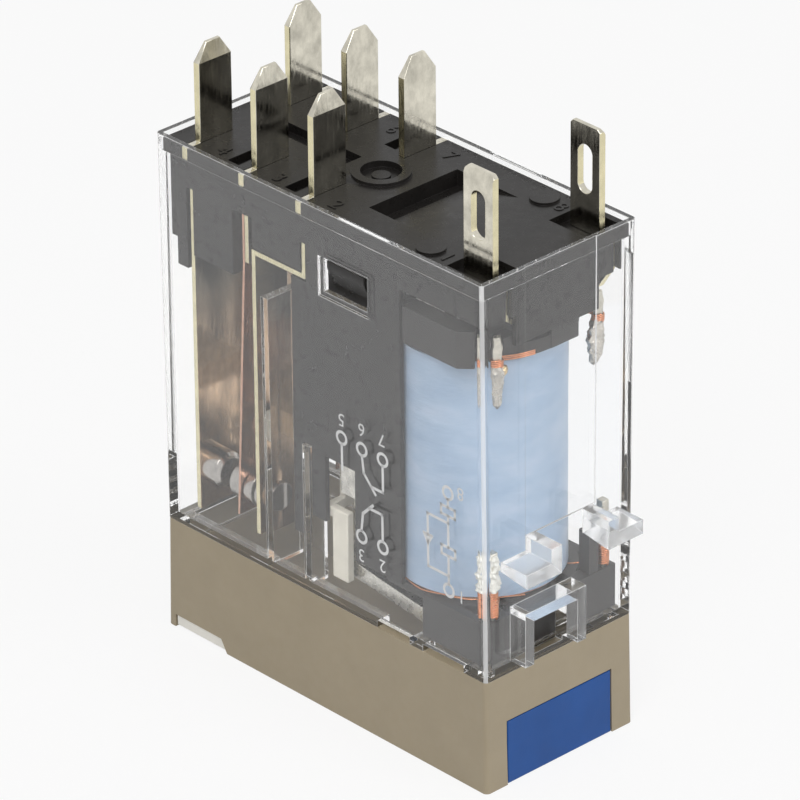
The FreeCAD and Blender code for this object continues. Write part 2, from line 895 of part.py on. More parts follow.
def make_contact_terminals():
    half = blade_thick / 2
    level_low = closed_bend_z - half
    level_high = level_low + strip_thick
    root_right = strip_faces(closed_x)[1]
    left, right = strip_faces(closed_strip_x)
    bend = outline(
        (root_right, level_low),
        (root_right, level_high),
        (left, level_high),
        (left, closed_foot),
        (right, closed_foot),
        (right, level_low),
    )
    contact_terminal("contact_blade_2_nc", -1, closed_x, level_low, bend)
    contact_terminal("contact_blade_3_com", -1, common_x, common_foot)
    contact_terminal("contact_blade_4_no", -1, open_x, open_foot)
    contact_terminal("contact_blade_5_no", 1, open_x, open_foot)
    contact_terminal("contact_blade_6_com", 1, common_x, common_foot)
    contact_terminal("contact_blade_7_nc", 1, closed_x, level_low, bend)
    drill_strips()


def drill_strips():
    """Rivet holes through the strips, as wide as the rivets' shanks."""
    for label, x, z in (
        ("contact_blade_2_nc", closed_strip_x, contact_z),
        ("contact_blade_7_nc", closed_strip_x, contact_z),
        ("contact_blade_4_no", open_x, contact_z),
        ("contact_blade_5_no", open_x, contact_z),
        ("contact_blade_3_com", common_x, rivet_z),
        ("contact_blade_6_com", common_x, rivet_z),
    ):
        body = doc.getObject(label)
        side = 1 if label[14] in "567" else -1
        middle = side * (strip_near + strip_far) / 2
        pocket(body, "YZ_Plane", x - blade_thick, x + blade_thick, disc(middle, z, shank_r))


def make_coil_terminals():
    for number, side in ((1, -1), (8, 1)):
        body = new_body(f"coil_blade_{number}")
        half = coil_blade_wide / 2
        left = coil_blade_x - half
        right = coil_blade_x + half
        corner = tip_thick
        plate = outline(
            (left, base_z - seat_deep),
            (right, base_z - seat_deep),
            (right, tip_z - corner),
            (right - corner, tip_z),
            (left + corner, tip_z),
            (left, tip_z - corner),
        )
        low, high = span(side, coil_blade_y - blade_thick / 2, coil_blade_y + blade_thick / 2)
        pad(body, "XZ_Plane", low, high, plate)
        make_tail(body, side, low)
        eye = oblong(coil_blade_x, tip_z - eye_drop - eye_long, tip_z - eye_drop, eye_wide / 2)
        pocket(body, "XZ_Plane", low - fit_gap, high + fit_gap, eye)
        outer = side * (coil_blade_y + blade_thick / 2)
        bevel = outline(
            (outer, tip_z - corner * 2),
            (outer, tip_z + corner),
            (outer - side * tip_thick, tip_z),
        )
        pocket(body, "YZ_Plane", left, right, bevel)


def tail_start(side):
    """Where a coil terminal's tail leaves the base, along Y."""
    return near_tail_shift - coil_blade_y if side < 0 else coil_blade_y + far_tail_shift


def make_tail(body, side, low):
    """The leg under the base: it runs down, then bends towards the middle."""
    start = tail_start(side)
    half = blade_thick / 2
    seat = base_z - seat_deep
    left = tail_x - tail_wide / 2
    right = tail_x + tail_wide / 2
    pad(body, "XY_Plane", seat - blade_thick, seat, box(left, right, low, start + half))
    leg = outline(
        (start - half, seat - blade_thick),
        (start + half, seat - blade_thick),
        (start + half, tail_bend),
        (start + half - side * tail_reach, tail_foot),
        (start - half - side * tail_reach, tail_foot),
        (start - half, tail_bend),
    )
    pad(body, "YZ_Plane", left, right, leg)


def make_base():
    body = new_body("base")
    lip_x = half_length - rim_wall - fit_gap
    lip_y = half_width - rim_wall - fit_gap
    pad(body, "XY_Plane", ledge_z, base_z, box(-lip_x, lip_x, -lip_y, lip_y))
    plug_x = half_length - cover_wall - fit_gap
    plug = box(-plug_x, plug_x, -skirt_half, skirt_half)
    pad(body, "XY_Plane", plug_z, ledge_z, plug)
    make_base_skirts(body, plug_x)
    make_base_face(body)
    cut_base_slots(body, lip_x)


def make_base_skirts(body, plug_x):
    inner = skirt_half - skirt_wall
    half = blade_thick / 2 + 2 * slot_play
    top = plug_z + fit_gap
    slot_left = divider_two_x - divider_wall / 2 - fit_gap
    slot_right = divider_two_x + divider_wall / 2 + fit_gap
    slot_top = divider_two_top + fit_gap
    notch_top = ear_high + fit_gap
    notch_right = yoke_left + ear_wide + fit_gap
    bend_foot = closed_bend_z - half
    wall = outline(
        (closed_x + half, top),
        (closed_x + half, bend_foot),
        (wall_left, bend_foot),
        (wall_left, wall_foot),
        (slot_left, wall_foot),
        (slot_left, slot_top),
        (slot_right, slot_top),
        (slot_right, wall_mid_foot),
        (wall_mid_x, wall_mid_foot),
        (wall_mid_x, notch_top),
        (notch_right, notch_top),
        (notch_right, wall_foot),
        (wall_right, wall_foot),
        (wall_right, top),
    )
    post = outline(
        (-plug_x, top),
        (-plug_x, end_post_step),
        (-plug_x + blade_thick, end_post_step),
        (-plug_x + blade_thick, end_post_foot),
        (open_x - half, end_post_foot),
        (open_x - half, top),
    )
    pillar_one = box(open_x + half, common_x - half - spring_lean, pillar_foot, top)
    rivet_end = common_x + half + stake_head
    pillar_two = box(rivet_end, closed_x - half, closed_bend_z + half, top)
    pillar_inner = inner - 2 * skirt_wall
    for name, side in SIDES:
        pad(body, "XZ_Plane", *span(side, inner, skirt_half), wall)
        pad(body, "XZ_Plane", *span(side, strip_far, skirt_half), post)
        pad(body, "XZ_Plane", *span(side, pillar_inner, skirt_half), pillar_one)
        pad(body, "XZ_Plane", *span(side, pillar_inner, skirt_half), pillar_two)
        hook = outline(
            (side * skirt_half, window_foot + window_bevel),
            (side * (half_width - bevel_depth), window_head - window_bevel * 2),
            (side * (half_width - bevel_depth), window_head - fit_gap),
            (side * skirt_half, window_head - fit_gap),
        )
        pad(body, "YZ_Plane", window_low + window_bevel, window_high - window_bevel, hook)
    front = box(front_skirt_low, front_skirt_high, front_skirt_foot, top)
    pad(body, "YZ_Plane", plug_x - skirt_wall, plug_x, front)


def make_base_face(body):
    high = base_z + ring_rise
    pad(body, "XY_Plane", base_z - fit_gap, high, disc(ring_x, 0, ring_outer))
    pocket(body, "XY_Plane", base_z - ring_rise, high, disc(ring_x, 0, ring_inner))
    pad(body, "XY_Plane", base_z - 2 * ring_rise, base_z - fit_gap, disc(ring_x, 0, dimple_r))
    for name, side in SIDES:
        spot = disc(pad_x, side * pad_y, pad_r)
        pad(body, "XY_Plane", base_z - fit_gap, base_z + pad_rise, spot)
    ramp = outline(
        (recess_left, base_z + fit_gap),
        (recess_left, base_z - recess_deep),
        (recess_step, base_z - recess_deep),
        (recess_step, base_z - recess_ramp),
        (recess_right, base_z),
        (recess_right, base_z + fit_gap),
    )
    pocket(body, "XZ_Plane", -recess_half, recess_half, ramp)
    trough = box(open_x + blade_pitch / 3, closed_x - blade_pitch / 3, -trough_half, trough_half)
    pocket(body, "XY_Plane", base_z - recess_ramp, base_z, trough)
    for x in (common_x, closed_x):
        right = x - blade_thick * 2
        left = right - blade_thick * 2
        for name, side in SIDES:
            low, high = span(side, strip_far, strip_near)
            pocket(body, "XY_Plane", base_z - recess_ramp, base_z, box(left, right, low, high))


def cut_base_slots(body, lip_x):
    """Openings that the eight terminals pass through."""
    half = blade_thick / 2
    edge = half_width - rim_wall
    for x in (closed_x, common_x, open_x):
        for name, side in SIDES:
            low, high = span(side, blade_y - blade_wide / 2 - slot_play, edge)
            slot = box(x - half - slot_play, x + half + slot_play, low, high)
            pocket(body, "XY_Plane", ledge_z, base_z, slot)
            low, high = span(side, strip_reach(x) - slot_play, strip_near + slot_play)
            left, right = strip_faces(x)
            slot = box(left - slot_play, right + slot_play, low, high)
            pocket(body, "XY_Plane", plug_z, ledge_z, slot)
    for name, side in SIDES:
        low, high = span(side, seat_inner, skirt_half)
        seat = box(coil_blade_x - coil_blade_wide / 2 - blade_thick, lip_x - skirt_wall, low, high)
        pocket(body, "XY_Plane", base_z - seat_deep, base_z, seat)
        low = side * coil_blade_y - half
        start = tail_start(side)
        left = tail_x - tail_wide / 2 - slot_play
        right = tail_x + tail_wide / 2 + slot_play
        run = box(left, right, low - slot_play, start + half + slot_play)
        pocket(body, "XY_Plane", plug_z, base_z - seat_deep, run)
        mouth = box(left, lip_x, start - half - slot_play, start + half + slot_play)
        pocket(body, "XY_Plane", plug_z, ledge_z, mouth)


def post_outline(side):
    """The square outline of a tap post."""
    left, right = pin_x - post_half, pin_x + post_half
    return box(left, right, side * post_y - post_half, side * post_y + post_half)


def make_bobbin():
    body = new_body("coil_bobbin")
    pad(body, "XY_Plane", lower_flange_z, winding_foot, disc(coil_x, 0, flange_r))
    pad(body, "XY_Plane", winding_foot, upper_flange_foot, disc(coil_x, 0, tube_r))
    pad(body, "XY_Plane", upper_flange_foot, upper_flange_top, disc(coil_x, 0, flange_r))
    back = yoke_right + fit_gap
    front = coil_x + 2 * flange_r
    for low, high in ((lower_flange_z, winding_foot), (upper_flange_foot, upper_flange_top)):
        pocket(body, "XY_Plane", low, high, box(-coil_x, back, -flange_r, flange_r))
        for name, side in SIDES:
            flat = box(-coil_x, front, *span(side, flange_half, 2 * flange_r))
            pocket(body, "XY_Plane", low, high, flat)
    head = box(bobbin_left, bobbin_right, -bobbin_half, bobbin_half)
    pad(body, "XY_Plane", upper_flange_top, yoke_under, head)
    outer_x = front_block_x - foot_block_wall
    front = box(-front_block_half, front_block_half, front_block_foot, winding_foot)
    pad(body, "YZ_Plane", outer_x, front_block_x, front)
    cheek = box(coil_x + cheek_start, front_block_x, front_block_foot, winding_foot)
    inner = front_block_half - cheek_wall
    for name, side in SIDES:
        pad(body, "XZ_Plane", *span(side, inner, front_block_half), cheek)
        ear = outline(
            (ear_left, side * (bobbin_half - fit_gap)),
            (ear_left, side * skirt_half),
            (ear_right, side * skirt_half),
            (bobbin_right, side * (skirt_half - ear_chamfer)),
            (bobbin_right, side * (bobbin_half - fit_gap)),
        )
        pad(body, "XY_Plane", upper_flange_foot, yoke_under, ear)
        seat = box(bobbin_right, pin_x + pin_thick / 2, seat_foot, yoke_under - pin_thick)
        pad(body, "XZ_Plane", *span(side, seat_inner, pin_y + pin_wide / 2), seat)
    guide = box(coil_x + core_r, guide_x, 0, guide_wide)
    pad(body, "XY_Plane", upper_flange_foot, front_skirt_foot - fit_gap, guide)
    tower = box(outer_x, front_block_x - fit_gap, winding_foot, tower_top)
    pad(body, "XZ_Plane", tower_high - tower_wide, tower_high, tower)
    bore = disc(coil_x, 0, core_r + fit_gap)
    pocket(body, "XY_Plane", lower_flange_z, yoke_under, bore)
    for name, side in SIDES:
        low, high = span(side, pin_y - pin_wide / 2 - slot_play, pin_y + pin_wide / 2 + slot_play)
        slot = box(pin_x - pin_thick / 2, pin_x + pin_thick, low, high)
        pocket(body, "XY_Plane", seat_foot, pin_top, slot)
        well = post_outline(side)
        pocket(body, "XY_Plane", post_foot, tower_top, well)


def make_coil():
    winding = new_body("coil_winding")
    ring = disc(coil_x, 0, winding_r)
    pad(winding, "XY_Plane", winding_foot, upper_flange_foot, ring, disc(coil_x, 0, tube_r))
    tape = new_body("coil_tape")
    sleeve = disc(coil_x, 0, tape_r)
    pad(tape, "XY_Plane", winding_foot, tape_top, sleeve, disc(coil_x, 0, winding_r))


def make_core():
    body = new_body("core")
    pad(body, "XY_Plane", pole_z, lower_flange_z, disc(coil_x, 0, pole_r))
    pad(body, "XY_Plane", lower_flange_z, yoke_under, disc(coil_x, 0, core_r))
    pad(body, "XY_Plane", yoke_under, plug_z, disc(coil_x, 0, stake_r))


def make_yoke():
    body = new_body("yoke")
    arm_end = coil_x + core_r + yoke_thick
    profile = outline(
        (yoke_left, pole_z),
        (yoke_right, pole_z),
        (yoke_right, yoke_under),
        (arm_end, yoke_under),
        (arm_end, plug_z),
        (yoke_left, plug_z),
    )
    pad(body, "XZ_Plane", -yoke_half, yoke_half, profile)
    ear = box(yoke_left, yoke_left + ear_wide, ear_low, ear_high)
    tab = box(coil_x + tab_shift, coil_x + tab_shift + tab_long, plug_z - tab_drop, plug_z)
    for name, side in SIDES:
        pad(body, "XZ_Plane", *span(side, yoke_half, ear_reach), ear)
        pad(body, "XZ_Plane", *span(side, yoke_half, flange_half), tab)
    pocket(body, "XY_Plane", yoke_under, plug_z, disc(coil_x, 0, stake_r))


def armature_profile():
    """Side view at rest: the arm upright, the pole arm sloping down by the swing."""
    run = armature_reach * cosine(armature_swing)
    drop = armature_reach * sine(armature_swing)
    down_x = armature_thick * sine(armature_swing)
    down_z = armature_thick * cosine(armature_swing)
    return outline(
        (yoke_left, edge_z),
        (yoke_left + run, edge_z - drop),
        (yoke_left + run - down_x, edge_z - drop - down_z),
        (arm_left, edge_z - down_z),
        (arm_left, arm_top),
        (arm_right, arm_top),
        (arm_right, edge_z + armature_thick / 4),
    )


def make_armature():
    body = new_body("armature")
    pad(body, "XZ_Plane", -yoke_half, yoke_half, armature_profile())
    for name, side in SIDES:
        shoulder = box(arm_left - fit_gap, arm_right + fit_gap, pole_z + yoke_thick, arm_top)
        pocket(body, "XZ_Plane", *span(side, arm_half, yoke_half + fit_gap), shoulder)
    room = leaf_half + leaf_play
    window = box(arm_right - fit_gap, yoke_left + leaf_play, -room, room)
    pocket(body, "XY_Plane", wall_foot - armature_thick * 3, edge_z + armature_thick, window)


def make_hinge_spring():
    """A leaf on the yoke's back whose foot presses up under the armature's heel."""
    body = new_body("hinge_spring")
    back = yoke_left
    front = yoke_left - leaf_thick
    heel = edge_z - armature_thick * cosine(armature_swing) - fit_gap
    profile = outline(
        (back, leaf_top),
        (front, leaf_top),
        (front, heel),
        (front - leaf_curl, heel),
        (front - leaf_curl, heel - leaf_thick),
        (back, heel - leaf_thick),
    )
    pad(body, "XZ_Plane", -leaf_half, leaf_half, profile)


def make_card():
    body = new_body("card")
    stem_right = arm_left - card_slot
    push = card_push_x + card_gap
    bar_right = push + card_bar
    stem = box(push, stem_right, -card_half, card_half)
    bar = box(push, bar_right, -card_bar_half, card_bar_half)
    pad(body, "XY_Plane", card_low, card_high, stem)
    pad(body, "XY_Plane", card_high - card_bar_tall, card_high, bar)
    back = stem_right - card_bridge
    web = box(back, stem_right, -card_bar_half, card_bar_half)
    pad(body, "XY_Plane", card_leg_high - card_bridge, card_high, web)
    bridge = box(back, stem_right, -card_leg_outer, card_leg_outer)
    pad(body, "XY_Plane", card_leg_high - card_bar, card_leg_high, bridge)
    leg_right = card_leg_left + card_leg_wide
    leg = outline(
        (back, card_leg_high - card_bar),
        (card_leg_left, card_leg_high - card_bar),
        (card_leg_left, card_leg_low),
        (leg_right, card_leg_low),
        (leg_right, card_leg_high),
        (back, card_leg_high),
    )
    for name, side in SIDES:
        pad(body, "XZ_Plane", *span(side, card_leg_inner, card_leg_outer), leg)


def make_contact_springs():
    foot_x = spring_root_x - spring_lean
    profile = outline(
        (spring_root_x, spring_top),
        (spring_root_x, common_foot),
        (foot_x, spring_foot),
        (foot_x + spring_thick, spring_foot),
        (spring_root_x + spring_thick, common_foot),
        (spring_root_x + spring_thick, spring_top),
    )
    for name, side in SIDES:
        body = new_body(f"contact_spring_{name}")
        pad(body, "XZ_Plane", *span(side, strip_far, strip_near), profile)
        middle = side * (strip_near + strip_far) / 2
        left = foot_x - spring_thick
        right = spring_root_x + 2 * spring_thick
        holes = (disc(middle, contact_z, shank_r), disc(middle, rivet_z, shank_r))
        pocket(body, "YZ_Plane", left, right, *holes)


def stack(label, side, z, *stretches):
    """A rivet along X: round stretches given as low, high and radius."""
    body = new_body(label)
    middle = side * (strip_near + strip_far) / 2
    for low, high, radius in stretches:
        pad(body, "YZ_Plane", low, high, disc(middle, z, radius))
    return body


def bevel_face(body, x):
    """Bevel the rim of the contact face that lies at x."""

    def wanted(edge):
        spread = edge.BoundBox
        return spread.XLength < 1e-4 and abs(spread.XMin - x.value) < 1e-4

    dress("Chamfer", body, contact_edge, wanted)


def make_rivets():
    open_back, open_face = strip_faces(open_x)
    closed_face, closed_back = strip_faces(closed_strip_x)
    common_back = strip_faces(common_x)[1]
    spring_x = contact_spring_x + spring_thick / 2
    closed_stop = closed_face - closed_head
    for name, side in SIDES:
        number = {"near": 4, "far": 5}[name]
        fixed = stack(
            f"fixed_contact_{number}_no",
            side,
            contact_z,
            (open_back - stake_head, open_back, contact_r * 0.8),
            (open_back, open_face, shank_r),
            (open_face, open_face + open_head, contact_r),
        )
        bevel_face(fixed, open_face + open_head)
        number = {"near": 2, "far": 7}[name]
        fixed = stack(
            f"fixed_contact_{number}_nc",
            side,
            contact_z,
            (closed_stop, closed_face, contact_r),
            (closed_face, closed_back, shank_r),
            (closed_back, closed_back + stake_head, contact_r * 0.8),
        )
        bevel_face(fixed, closed_stop)
        moving = stack(
            f"moving_contact_{name}",
            side,
            contact_z,
            (spring_x - spring_thick - moving_head, spring_x - spring_thick, contact_r),
            (spring_x - spring_thick, spring_x + spring_thick, shank_r),
            (spring_x + spring_thick, closed_stop - contact_touch, contact_r),
        )
        bevel_face(moving, spring_x - spring_thick - moving_head)
        stack(
            f"spring_rivet_{name}",
            side,
            rivet_z,
            (spring_root_x - stake_head, spring_root_x, rivet_r),
            (spring_root_x, common_back, shank_r),
            (common_back, common_back + stake_head, rivet_r),
        )


def make_pins():
    half = pin_wide / 2
    front = pin_x + pin_thick / 2
    for name, side in SIDES:
        body = new_body(f"coil_pin_{name}")
        strip = box(side * pin_y - half, side * pin_y + half, pin_foot, pin_top)
        pad(body, "YZ_Plane", pin_x - pin_thick / 2, front, strip)
        blob = new_body(f"solder_joint_{name}")
        pad(blob, "YZ_Plane", front, front + solder_r / 2, disc(side * pin_y, solder_z, solder_r))
        post = new_body(f"tap_post_{name}")
        pad(post, "XY_Plane", post_foot, post_top, post_outline(side))
        ring = (disc(pin_x, side * post_y, wrap_r), post_outline(side))
        wrap = new_body(f"tap_wire_{name}")
        pad(wrap, "XY_Plane", winding_foot, tap_z, *ring)


def check_and_write():
    doc.recompute()
    for item in doc.Objects:
        bad = [word for word in item.State if word in ("Invalid", "Error")]
        if bad:
            raise RuntimeError(f"{item.Label} is {bad}")
    os.makedirs("parts", exist_ok=True)
    for body in pieces:
        shape = body.Shape
        if shape.isNull() or not shape.isValid() or not shape.Solids:
            raise RuntimeError(f"{body.Label} has no valid solid")
        shape.exportStep(f"parts/{body.Label}.step")
        spread = shape.BoundBox
        print(
            f"{body.Label:22s} solids {len(shape.Solids)} volume {shape.Volume:9.3f}"
            f" x {spread.XMin:7.2f} {spread.XMax:7.2f} y {spread.YMin:6.2f} {spread.YMax:6.2f}"
            f" z {spread.ZMin:6.2f} {spread.ZMax:6.2f}"
        )


make_cover()
make_cap()
make_nameplate()
make_lever()
make_base()
make_contact_terminals()
make_coil_terminals()
make_bobbin()
make_coil()
make_core()
make_yoke()
make_armature()
make_hinge_spring()
make_card()
make_contact_springs()
make_rivets()
make_pins()
check_and_write()
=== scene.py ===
import json
import math

import bmesh
import bpy
from mathutils import Matrix, Vector, noise


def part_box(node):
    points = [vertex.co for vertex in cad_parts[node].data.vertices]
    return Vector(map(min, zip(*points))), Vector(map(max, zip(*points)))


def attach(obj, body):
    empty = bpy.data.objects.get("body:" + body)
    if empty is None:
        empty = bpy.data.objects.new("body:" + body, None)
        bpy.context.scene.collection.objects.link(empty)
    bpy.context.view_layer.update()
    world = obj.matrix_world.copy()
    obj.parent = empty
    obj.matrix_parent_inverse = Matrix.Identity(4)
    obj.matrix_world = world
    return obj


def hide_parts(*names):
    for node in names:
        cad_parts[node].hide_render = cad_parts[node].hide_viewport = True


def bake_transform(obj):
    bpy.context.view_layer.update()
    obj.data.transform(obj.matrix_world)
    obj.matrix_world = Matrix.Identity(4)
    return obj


# A plug-in power relay on a pale floor. Lengths in the calls below are in millimetres and are
# turned into metres when meshes are made; the frame is the one of the CAD model.

MM = 0.001
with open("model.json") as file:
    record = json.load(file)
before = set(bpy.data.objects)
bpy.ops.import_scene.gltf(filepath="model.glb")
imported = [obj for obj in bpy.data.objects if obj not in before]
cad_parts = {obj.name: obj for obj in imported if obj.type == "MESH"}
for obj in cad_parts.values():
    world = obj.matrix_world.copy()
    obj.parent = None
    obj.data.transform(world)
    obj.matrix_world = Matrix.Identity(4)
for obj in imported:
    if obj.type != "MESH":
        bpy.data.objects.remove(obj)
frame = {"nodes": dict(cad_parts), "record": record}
nodes = frame["nodes"]
groups = frame["record"]["behaviour"]["bodies"]
body_of = {node: body for body, group in groups.items() for node in group}
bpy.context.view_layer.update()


def low(node):
    """The lowest corner of a CAD node's box."""
    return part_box(node)[0] / MM


def high(node):
    """The highest corner of a CAD node's box."""
    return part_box(node)[1] / MM


def middle(node):
    """The middle of a CAD node's box."""
    return (low(node) + high(node)) / 2


# Materials

EVEN = (1, 1, 1)  # the scale of a noise that isn't stretched
NOISE_SPAN = (0.3, 0.7)  # a noise texture seldom leaves this span


def new_material(name):
    """A material with only a shader and an output in its node tree."""
    made = bpy.data.materials.new(name)
    made.use_nodes = True
    return made


class Nodes:
    """Short ways to add and join shader nodes."""

    def __init__(self, made):
        self.tree = made.node_tree
        self.shader = self.tree.nodes["Principled BSDF"]
        self.output = self.tree.nodes["Material Output"]
        self.place = self.tree.nodes.new("ShaderNodeTexCoord").outputs["Object"]

    def add(self, kind, **values):
        node = self.tree.nodes.new(kind)
        for key, value in values.items():
            if key in node.inputs.keys():
                node.inputs[key].default_value = value
            else:
                setattr(node, key, value)
        return node

    def join(self, start, end):
        self.tree.links.new(start, end)

    def stretched(self, scale):
        """Object coordinates in millimetres, stretched by scale."""
        node = self.add("ShaderNodeMapping")
        node.inputs["Scale"].default_value = [value / MM for value in scale]
        self.join(self.place, node.inputs["Vector"])
        return node.outputs["Vector"]

    def noise(self, scale, size, detail=3.0, rough=0.55):
        node = self.add("ShaderNodeTexNoise", Scale=size, Detail=detail, Roughness=rough)
        self.join(self.stretched(scale), node.inputs["Vector"])
        return node.outputs["Fac"]

    def ramp(self, value, stops):
        node = self.add("ShaderNodeValToRGB")
        ramp = node.color_ramp
        while len(ramp.elements) < len(stops):
            ramp.elements.new(0.5)
        for element, (spot, colour) in zip(ramp.elements, stops):
            element.position = spot
            element.color = (*colour, 1.0)
        self.join(value, node.inputs["Fac"])
        return node.outputs["Color"]

    def span(self, value, start, end, source=NOISE_SPAN):
        """The value, from one end of source to the other, turned into start to end."""
        node = self.add("ShaderNodeMapRange")
        numbers = {"From Min": source[0], "From Max": source[1], "To Min": start, "To Max": end}
        for key, number in numbers.items():
            node.inputs[key].default_value = number
        self.join(value, node.inputs["Value"])
        return node.outputs["Result"]

    def bump(self, value, distance, strength=1.0):
        node = self.add("ShaderNodeBump", Strength=strength, Distance=distance * MM)
        self.join(value, node.inputs["Height"])
        return node.outputs["Normal"]

    def mix_shaders(self, share, first, second):
        """The first shader where share is 0, the second where it is 1, sent to the output."""
        mix = self.add("ShaderNodeMixShader")
        self.join(share, mix.inputs["Fac"])
        self.join(first, mix.inputs[1])
        self.join(second, mix.inputs[2])
        self.join(mix.outputs["Shader"], self.output.inputs["Surface"])


def two_tones(colour, darker, lighter):
    """A darker and a lighter tone of a colour."""
    dark = tuple(c * (1 - darker) for c in colour)
    light = tuple(min(1.0, c * (1 + lighter)) for c in colour)
    return dark, light


def plastic(name, colour, shade=0.12, rough=0.45, grain=0.006, grain_size=9.0, shine=0.5):
    """Moulded plastic: fine grain, slight tone changes and uneven gloss."""
    made = new_material(name)
    n = Nodes(made)
    uneven = 0.06
    n.shader.inputs["Specular IOR Level"].default_value = shine
    dark, light = two_tones(colour, shade, shade)
    tone = n.noise(EVEN, 0.35, 4.0)
    stops = list(zip(NOISE_SPAN, (dark, light)))
    n.join(n.ramp(tone, stops), n.shader.inputs["Base Color"])
    gloss = n.noise(EVEN, 1.6)
    n.join(n.span(gloss, rough - uneven, rough + uneven), n.shader.inputs["Roughness"])
    fine = n.noise(EVEN, grain_size, 2.0)
    n.join(n.bump(fine, grain), n.shader.inputs["Normal"])
    return made


def metal(name, colour, shade, rough, streak=(8, 8, 0.6), scratch=0.004):
    """Rolled or plated metal: drawn streaks, stains and uneven gloss."""
    made = new_material(name)
    n = Nodes(made)
    n.shader.inputs["Metallic"].default_value = 1.0
    dark, light = two_tones(colour, shade, shade * 0.6)
    stain = n.noise((1, 1, 0.7), 0.9, 5.0, 0.65)
    n.join(n.ramp(stain, [(0.32, dark), (0.68, light)]), n.shader.inputs["Base Color"])
    lines = n.noise(streak, 1.0)
    n.join(n.span(lines, rough - 0.08, rough + 0.1), n.shader.inputs["Roughness"])
    n.join(n.bump(lines, scratch), n.shader.inputs["Normal"])
    return made


def tinned(name):
    """The bright metal of the blades."""
    return metal(name, (0.62, 0.59, 0.5), shade=0.28, rough=0.14, scratch=0.0015)


def strip_metal(name):
    """Blade metal that is plain at the base, then dark with painted shade near the base, and then
    brown further into the cover.
    """
    made = tinned(name)
    n = Nodes(made)
    brown_end, plain_end = 10 * MM, 34 * MM
    height = n.add("ShaderNodeSeparateXYZ")
    n.join(n.place, height.inputs["Vector"])
    share = n.span(height.outputs["Z"], 0.0, 1.0, (brown_end, plain_end))
    # The dark stop is painted shade near the base; the brown is the tone further into the cover.
    brown, dark, plain_tin = (1.0, 0.74, 0.57), (0.3, 0.28, 0.26), (1.0, 1.0, 1.0)
    stops = [(0.0, brown), (0.38, brown), (0.64, dark), (0.92, dark), (1.0, plain_tin)]
    tint = n.ramp(share, stops)
    mix = n.add("ShaderNodeVectorMath", operation="MULTIPLY")
    base = n.shader.inputs["Base Color"]
    n.join(base.links[0].from_socket, mix.inputs[0])
    n.join(tint, mix.inputs[1])
    n.join(mix.outputs["Vector"], base)
    return made


def clear_plastic(name, frost=0.0, milk=0.0, flow_size=0.12):
    """Clear polycarbonate that lets light through to what stands inside."""
    made = new_material(name)
    n = Nodes(made)
    n.shader.inputs["Base Color"].default_value = (1, 1, 1, 1)
    n.shader.inputs["Transmission Weight"].default_value = 1.0 - milk
    n.shader.inputs["IOR"].default_value = 1.46
    if frost:
        gloss = n.noise(EVEN, 0.9)
        n.join(n.span(gloss, frost * 0.7, frost * 1.3), n.shader.inputs["Roughness"])
    else:
        n.shader.inputs["Roughness"].default_value = 0.0
    flow = n.noise(EVEN, flow_size, 2.0)
    n.join(n.bump(flow, 0.01, 0.2), n.shader.inputs["Normal"])
    path = n.add("ShaderNodeLightPath")
    shadow = n.add("ShaderNodeBsdfTransparent", Color=(0.93, 0.935, 0.93, 1))
    n.mix_shaders(path.outputs["Is Shadow Ray"], n.shader.outputs["BSDF"], shadow.outputs["BSDF"])
    return made


def tape_material(name):
    """Pale blue wound tape: soft sheen, faint creases and paler bands where turns overlap."""
    made = new_material(name)
    n = Nodes(made)
    tone = n.noise((0.5, 0.5, 1.3), 0.6, 5.0, 0.6)
    stops = [(0.3, (0.27, 0.375, 0.525)), (0.5, (0.325, 0.43, 0.57)), (0.72, (0.4, 0.485, 0.615))]
    n.join(n.ramp(tone, stops), n.shader.inputs["Base Color"])
    n.shader.inputs["Roughness"].default_value = 0.42
    n.shader.inputs["Sheen Weight"].default_value = 0.1
    creases = n.noise((0.25, 0.25, 2.2), 0.9, 4.0, 0.6)
    n.join(n.bump(creases, 0.05, 0.8), n.shader.inputs["Normal"])
    return made


cap_taupe = plastic(
    "cap_taupe", (0.335, 0.278, 0.19), shade=0.035, rough=0.5, grain=0.008, grain_size=10.0
)
lever_blue = plastic(
    "lever_blue", (0.006, 0.068, 0.27), shade=0.08, rough=0.36, grain=0.004, grain_size=12.0,
    shine=0.3,
)
plate_white = plastic("plate_white", (0.8, 0.78, 0.72), shade=0.04)
base_black = plastic(
    "base_black", (0.016, 0.0145, 0.0135), shade=0.25, rough=0.3, grain=0.003, grain_size=6.0,
    shine=0.22,
)
bobbin_black = plastic(
    "bobbin_black", (0.028, 0.026, 0.025), shade=0.2, rough=0.4, grain=0.003, grain_size=6.0,
    shine=0.3,
)
card_ivory = plastic("card_ivory", (0.76, 0.72, 0.62), shade=0.1)
blade_tin = tinned("blade_tin")
pin_tin = metal("pin_tin", (0.66, 0.63, 0.55), shade=0.3, rough=0.34, streak=(3, 3, 3))
pin_white = plastic("pin_white", (0.72, 0.71, 0.66), rough=0.4)
magnet_steel = metal(
    "magnet_steel", (0.66, 0.64, 0.59), shade=0.35, rough=0.26, streak=(2, 2, 2), scratch=0.003
)
spring_copper = metal("spring_copper", (0.6, 0.36, 0.26), shade=0.2, rough=0.18, scratch=0.001)
copper_wire = metal("copper_wire", (0.72, 0.3, 0.15), shade=0.3, rough=0.3, streak=(2, 2, 9))
contact_silver = metal(
    "contact_silver", (0.43, 0.41, 0.385), shade=0.25, rough=0.12, streak=(4, 4, 4), scratch=0.001
)
solder_grey = metal("solder_grey", (0.56, 0.53, 0.48), shade=0.35, rough=0.3, streak=(3, 3, 3))
flux_gold = metal("flux_gold", (0.62, 0.47, 0.27), shade=0.4, rough=0.25, streak=(3, 3, 3))
cover_clear = clear_plastic("cover_clear", milk=0.008)
cover_frosted = clear_plastic("cover_frosted", frost=0.16, milk=0.16, flow_size=0.6)
cover_hood = clear_plastic("cover_hood", frost=0.07, milk=0.05, flow_size=0.6)
